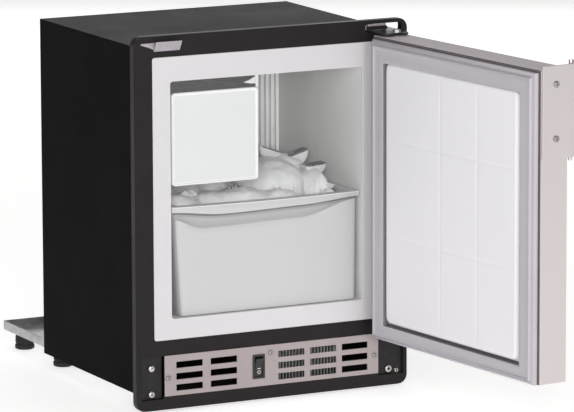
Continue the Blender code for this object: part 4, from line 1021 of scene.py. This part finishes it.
# fan: hub and five pitched blades, each a grid of 8 by 8 cells on both faces
fan_lo, fan_hi = local("fan_blades")
fan_axis = Vector(JOINTS["fan_spin"]["pos_m"]) - ORIGIN
depth = fan_hi.y - fan_lo.y
BLADES = 5
BLADE_CELLS = 8
BLADE_THICK = 0.0011
HUB = 0.0125
ROOT, TIP = HUB * 0.9, 0.0465
bm = bmesh.new()
lathe(bm, [(0, 0), (HUB * 0.9, 0), (HUB, 0.001), (HUB, depth - 0.002), (HUB * 0.85, depth),
           (0, depth)], Vector((fan_axis.x, fan_lo.y, fan_axis.z)), "Y", 28)
for blade in range(BLADES):
    start = 2 * math.pi * blade / BLADES
    cells = []
    for i in range(BLADE_CELLS + 1):
        out = i / BLADE_CELLS
        radius = ROOT + (TIP - ROOT) * out
        row = []
        for k in range(BLADE_CELLS + 1):
            share = k / BLADE_CELLS
            t = start + 0.62 * (1 - 0.25 * out) * (share - 0.5) + 0.18 * out
            y = fan_lo.y + depth * (0.12 + 0.7 * share * (1 - 0.35 * out))
            y += 0.0008 * math.sin(share * math.pi)
            row.append((radius * math.cos(t), y, radius * math.sin(t)))
        cells.append(row)
    low, high = [[[bm.verts.new((fan_axis.x + a, y + off, fan_axis.z + c)) for a, y, c in row]
                  for row in cells] for off in (0, BLADE_THICK)]
    for layer, flip in ((low, 1), (high, -1)):
        for row, after in zip(layer, layer[1:]):
            for k in range(BLADE_CELLS):
                bm.faces.new((row[k], row[k + 1], after[k + 1], after[k])[::flip])
    for i in range(BLADE_CELLS):
        for k in (0, BLADE_CELLS):
            bm.faces.new((low[i][k], low[i + 1][k], high[i + 1][k], high[i][k]))
    for k in range(BLADE_CELLS):
        for i in (0, BLADE_CELLS):
            bm.faces.new((low[i][k], low[i][k + 1], high[i][k + 1], high[i][k]))
piece(bm, "fan_pitched", (black_plastic,), "fan", CAB, ("fan_blades",), 40)

# side of the liner: a shallow step that ramps in along the right wall to the fluted cover,
# darker than the liner as painted shade
cover_lo, cover_hi = local("evaporator_cover")
wall_x, step_y = cover_hi.x, cover_lo.y + 0.0015
bm = bmesh.new()
prism(bm, [(wall_x, 0.136), (wall_x - 0.0001, 0.136), (wall_x - 0.0016, 0.148),
           (wall_x - 0.005, step_y), (wall_x, step_y)],
      0.268, cover_hi.z - 0.0006)
rounded(piece(bm, "liner_step", (step_shade_plastic,), "cabinet"), 0.0006)

# cover of the ice mechanism: a plate with rounded corners and a painted highlight on its rolled
# edge
front_lo, front_hi = local("icemaker_cover")
COVER_CORNER = 0.0048
# (inset, depth) from the back round the edge to the sunk face
back, front = front_hi.y, front_lo.y
COVER_EDGE = ((0.0004, back), (0.0, back - 0.0008), (0.0, front + 0.0016),
              (0.0004, front + 0.0006), (0.0012, front), (0.002, front + 0.0001),
              (0.0028, front + 0.0007), (0.0034, front + 0.0009), (0.0043, front + 0.0009))
bm = bmesh.new()
edge_loops = []
for inset, y in COVER_EDGE:
    outline = rounded_outline((front_lo.x + inset, front_hi.x - inset),
                              (front_lo.z + inset, front_hi.z - inset), COVER_CORNER - inset)
    edge_loops.append([bm.verts.new((a, y, c)) for a, c in outline])
bm.faces.new(edge_loops[0][::-1])
bridge(bm, edge_loops)
bm.faces.new(edge_loops[-1]).material_index = 1
piece(bm, "cover_plate", (highlight_plastic, cover_plastic), "cabinet", CAB,
      ("icemaker_cover",), 50)

# fluted cover over the evaporator: round ribs with narrow grooves, its sides folded back
RIBS = 18
RIB_STEPS = 8
RIB_DEPTH = 0.0028
FOLD = 0.002
left, right, front, back = cover_lo.x, cover_hi.x, cover_lo.y, cover_hi.y
rib_pitch = (right - left - 2 * FOLD) / RIBS
outline = [(left, front + 0.003), (left + 0.0008, front + 0.0022)]
for rib in range(RIBS):
    for k in range(RIB_STEPS):
        share = k / RIB_STEPS
        groove = RIB_DEPTH * (1 - math.sin(math.pi * share) ** 0.6)
        outline.append((left + FOLD + rib_pitch * (rib + share), front + groove))
outline += [(right - FOLD, front + 0.0022), (right, front + 0.003), (right, back),
            (right - FOLD, back), (right - FOLD, front + 0.0052), (left + FOLD, front + 0.0052),
            (left + FOLD, back), (left, back)]
bm = bmesh.new()
prism(bm, outline, cover_lo.z, cover_hi.z)
bmesh.ops.triangulate(bm, faces=[f for f in bm.faces if len(f.verts) > 4])
# the grooves between the ribs take the darker bin plastic as painted shade
for face in bm.faces:
    groove = face.calc_center_median().y - cover_lo.y
    if 0.0013 < groove < 0.0032 and abs(face.normal.z) < 0.5:
        face.material_index = 1
piece(bm, "evaporator_flutes", (flute_plastic, bin_plastic), "cabinet", CAB,
      ("evaporator_cover",), 55)

# bracket at the right end of the dark band, over the cover: an upright and a wedge beside it
band_lo, band_hi = local("icemaker_top_band")
end, low, top, front = band_hi.x, band_lo.z, band_hi.z, band_lo.y
bm = bmesh.new()
prism(bm, [(end - 0.0016, low - 0.0002), (end + 0.0018, low - 0.0002), (end + 0.0018, top),
           (end - 0.003, top)], front - 0.0012, front + 0.012, "Y")
prism(bm, [(end - 0.019, low + 0.0062), (end - 0.008, low + 0.0042),
           (end - 0.002, low + 0.004), (end - 0.003, top - 0.002),
           (end - 0.01, top - 0.0056)], front - 0.001, front + 0.004, "Y")
rounded(piece(bm, "band_bracket", (cover_plastic,), "cabinet"), 0.0008)

# bright heads of the rivets in the lower hinge bracket: (x, z, radius, rise)
bracket_lo = local("lower_hinge_bracket")[0]
PLATE_Y = 0.004
bm = bmesh.new()
for x, z, radius, rise in ((bracket_lo.x + 0.0147, bracket_lo.z + 0.0065, 0.005, 0.0034),
                           (bracket_lo.x + 0.0267, bracket_lo.z + 0.0033, 0.003, 0.0024)):
    lathe(bm, [(0, -0.0005), (radius, -0.0005), (radius, rise * 0.45),
               (radius * 0.86, rise * 0.85), (radius * 0.55, rise), (radius * 0.4, rise),
               (radius * 0.34, rise * 0.72), (0, rise * 0.66)],
          Vector((x, PLATE_Y, z)), "-Y", 28)
piece(bm, "rivet_heads", (zinc_steel,), "cabinet", angle=30)

# painted highlight along the top edge of the black clamp strip, in light steel
strip_lo, strip_hi = local("hinge_clamp_strip")
bm = bmesh.new()
add_box(bm, (strip_lo.x + 0.0004, strip_hi.x - 0.0004), (strip_lo.y - 0.0002, strip_lo.y + 0.0016),
        (strip_hi.z - 0.0026, strip_hi.z + 0.0002))
rounded(piece(bm, "clamp_edge_highlight", (strike_steel,), "cabinet"), 0.0005)

# ---- stage, light and camera
FLOOR_SIZE = 60
bpy.ops.mesh.primitive_grid_add(x_subdivisions=4, y_subdivisions=4, size=FLOOR_SIZE)
floor = bpy.context.object
floor.name = "floor"
floor.data.materials.append(floor_white)

world = bpy.data.worlds.new("studio")
bpy.context.scene.world = world
world.use_nodes = True
put(world.node_tree.nodes["Background"], Color=(1.0, 0.99, 0.985, 1), Strength=0.2)


def softbox(name, place, aim, size, power):
    lamp = bpy.data.lights.new(name, "AREA")
    lamp.shape = "RECTANGLE"
    lamp.size, lamp.size_y = size
    lamp.energy = power
    obj = bpy.data.objects.new(name, lamp)
    SHOWN.link(obj)
    obj.location = place
    obj.rotation_euler = (Vector(aim) - Vector(place)).to_track_quat("-Z", "Y").to_euler()


softbox("key", (-2.3, -3.8, 1.9), (0, -0.1, 0.25), (2.2, 1.8), 40)
softbox("front", (-1.95, -4.0, 1.12), (0, 0, 0.28), (0.9, 0.7), 38)
softbox("deep", (-0.35, -4.4, 0.85), (0, 0, 0.33), (0.7, 0.5), 34)
softbox("top", (-0.2, 0.3, 2.6), (0, 0, 0.2), (2.4, 2.4), 12)
softbox("rear", (1.7, 3.1, 1.05), (0, 0, 0.4), (3.0, 1.2), 17)
softbox("fill", (2.2, -1.8, 1.2), (0, -0.2, 0.25), (1.4, 1.4), 6)

# where the camera stands, in metres, and its turn, fall and roll in degrees
CAMERA_AT = (-2.67532, -5.34629, 1.31421)
CAMERA_TURN, CAMERA_FALL, CAMERA_ROLL = -26.7289, 10.194, -0.2173
camera = bpy.data.objects.new("camera", bpy.data.cameras.new("camera"))
SHOWN.link(camera)
bpy.context.scene.camera = camera
camera.data.lens = 302.42
camera.data.sensor_width = 36.0
camera.data.clip_end = 100.0
camera.matrix_world = (Matrix.Translation(CAMERA_AT) @ turned(CAMERA_TURN, "Z")
                       @ turned(90 - CAMERA_FALL, "X") @ turned(CAMERA_ROLL, "Z"))
bpy.context.scene.view_settings.view_transform = "Standard"
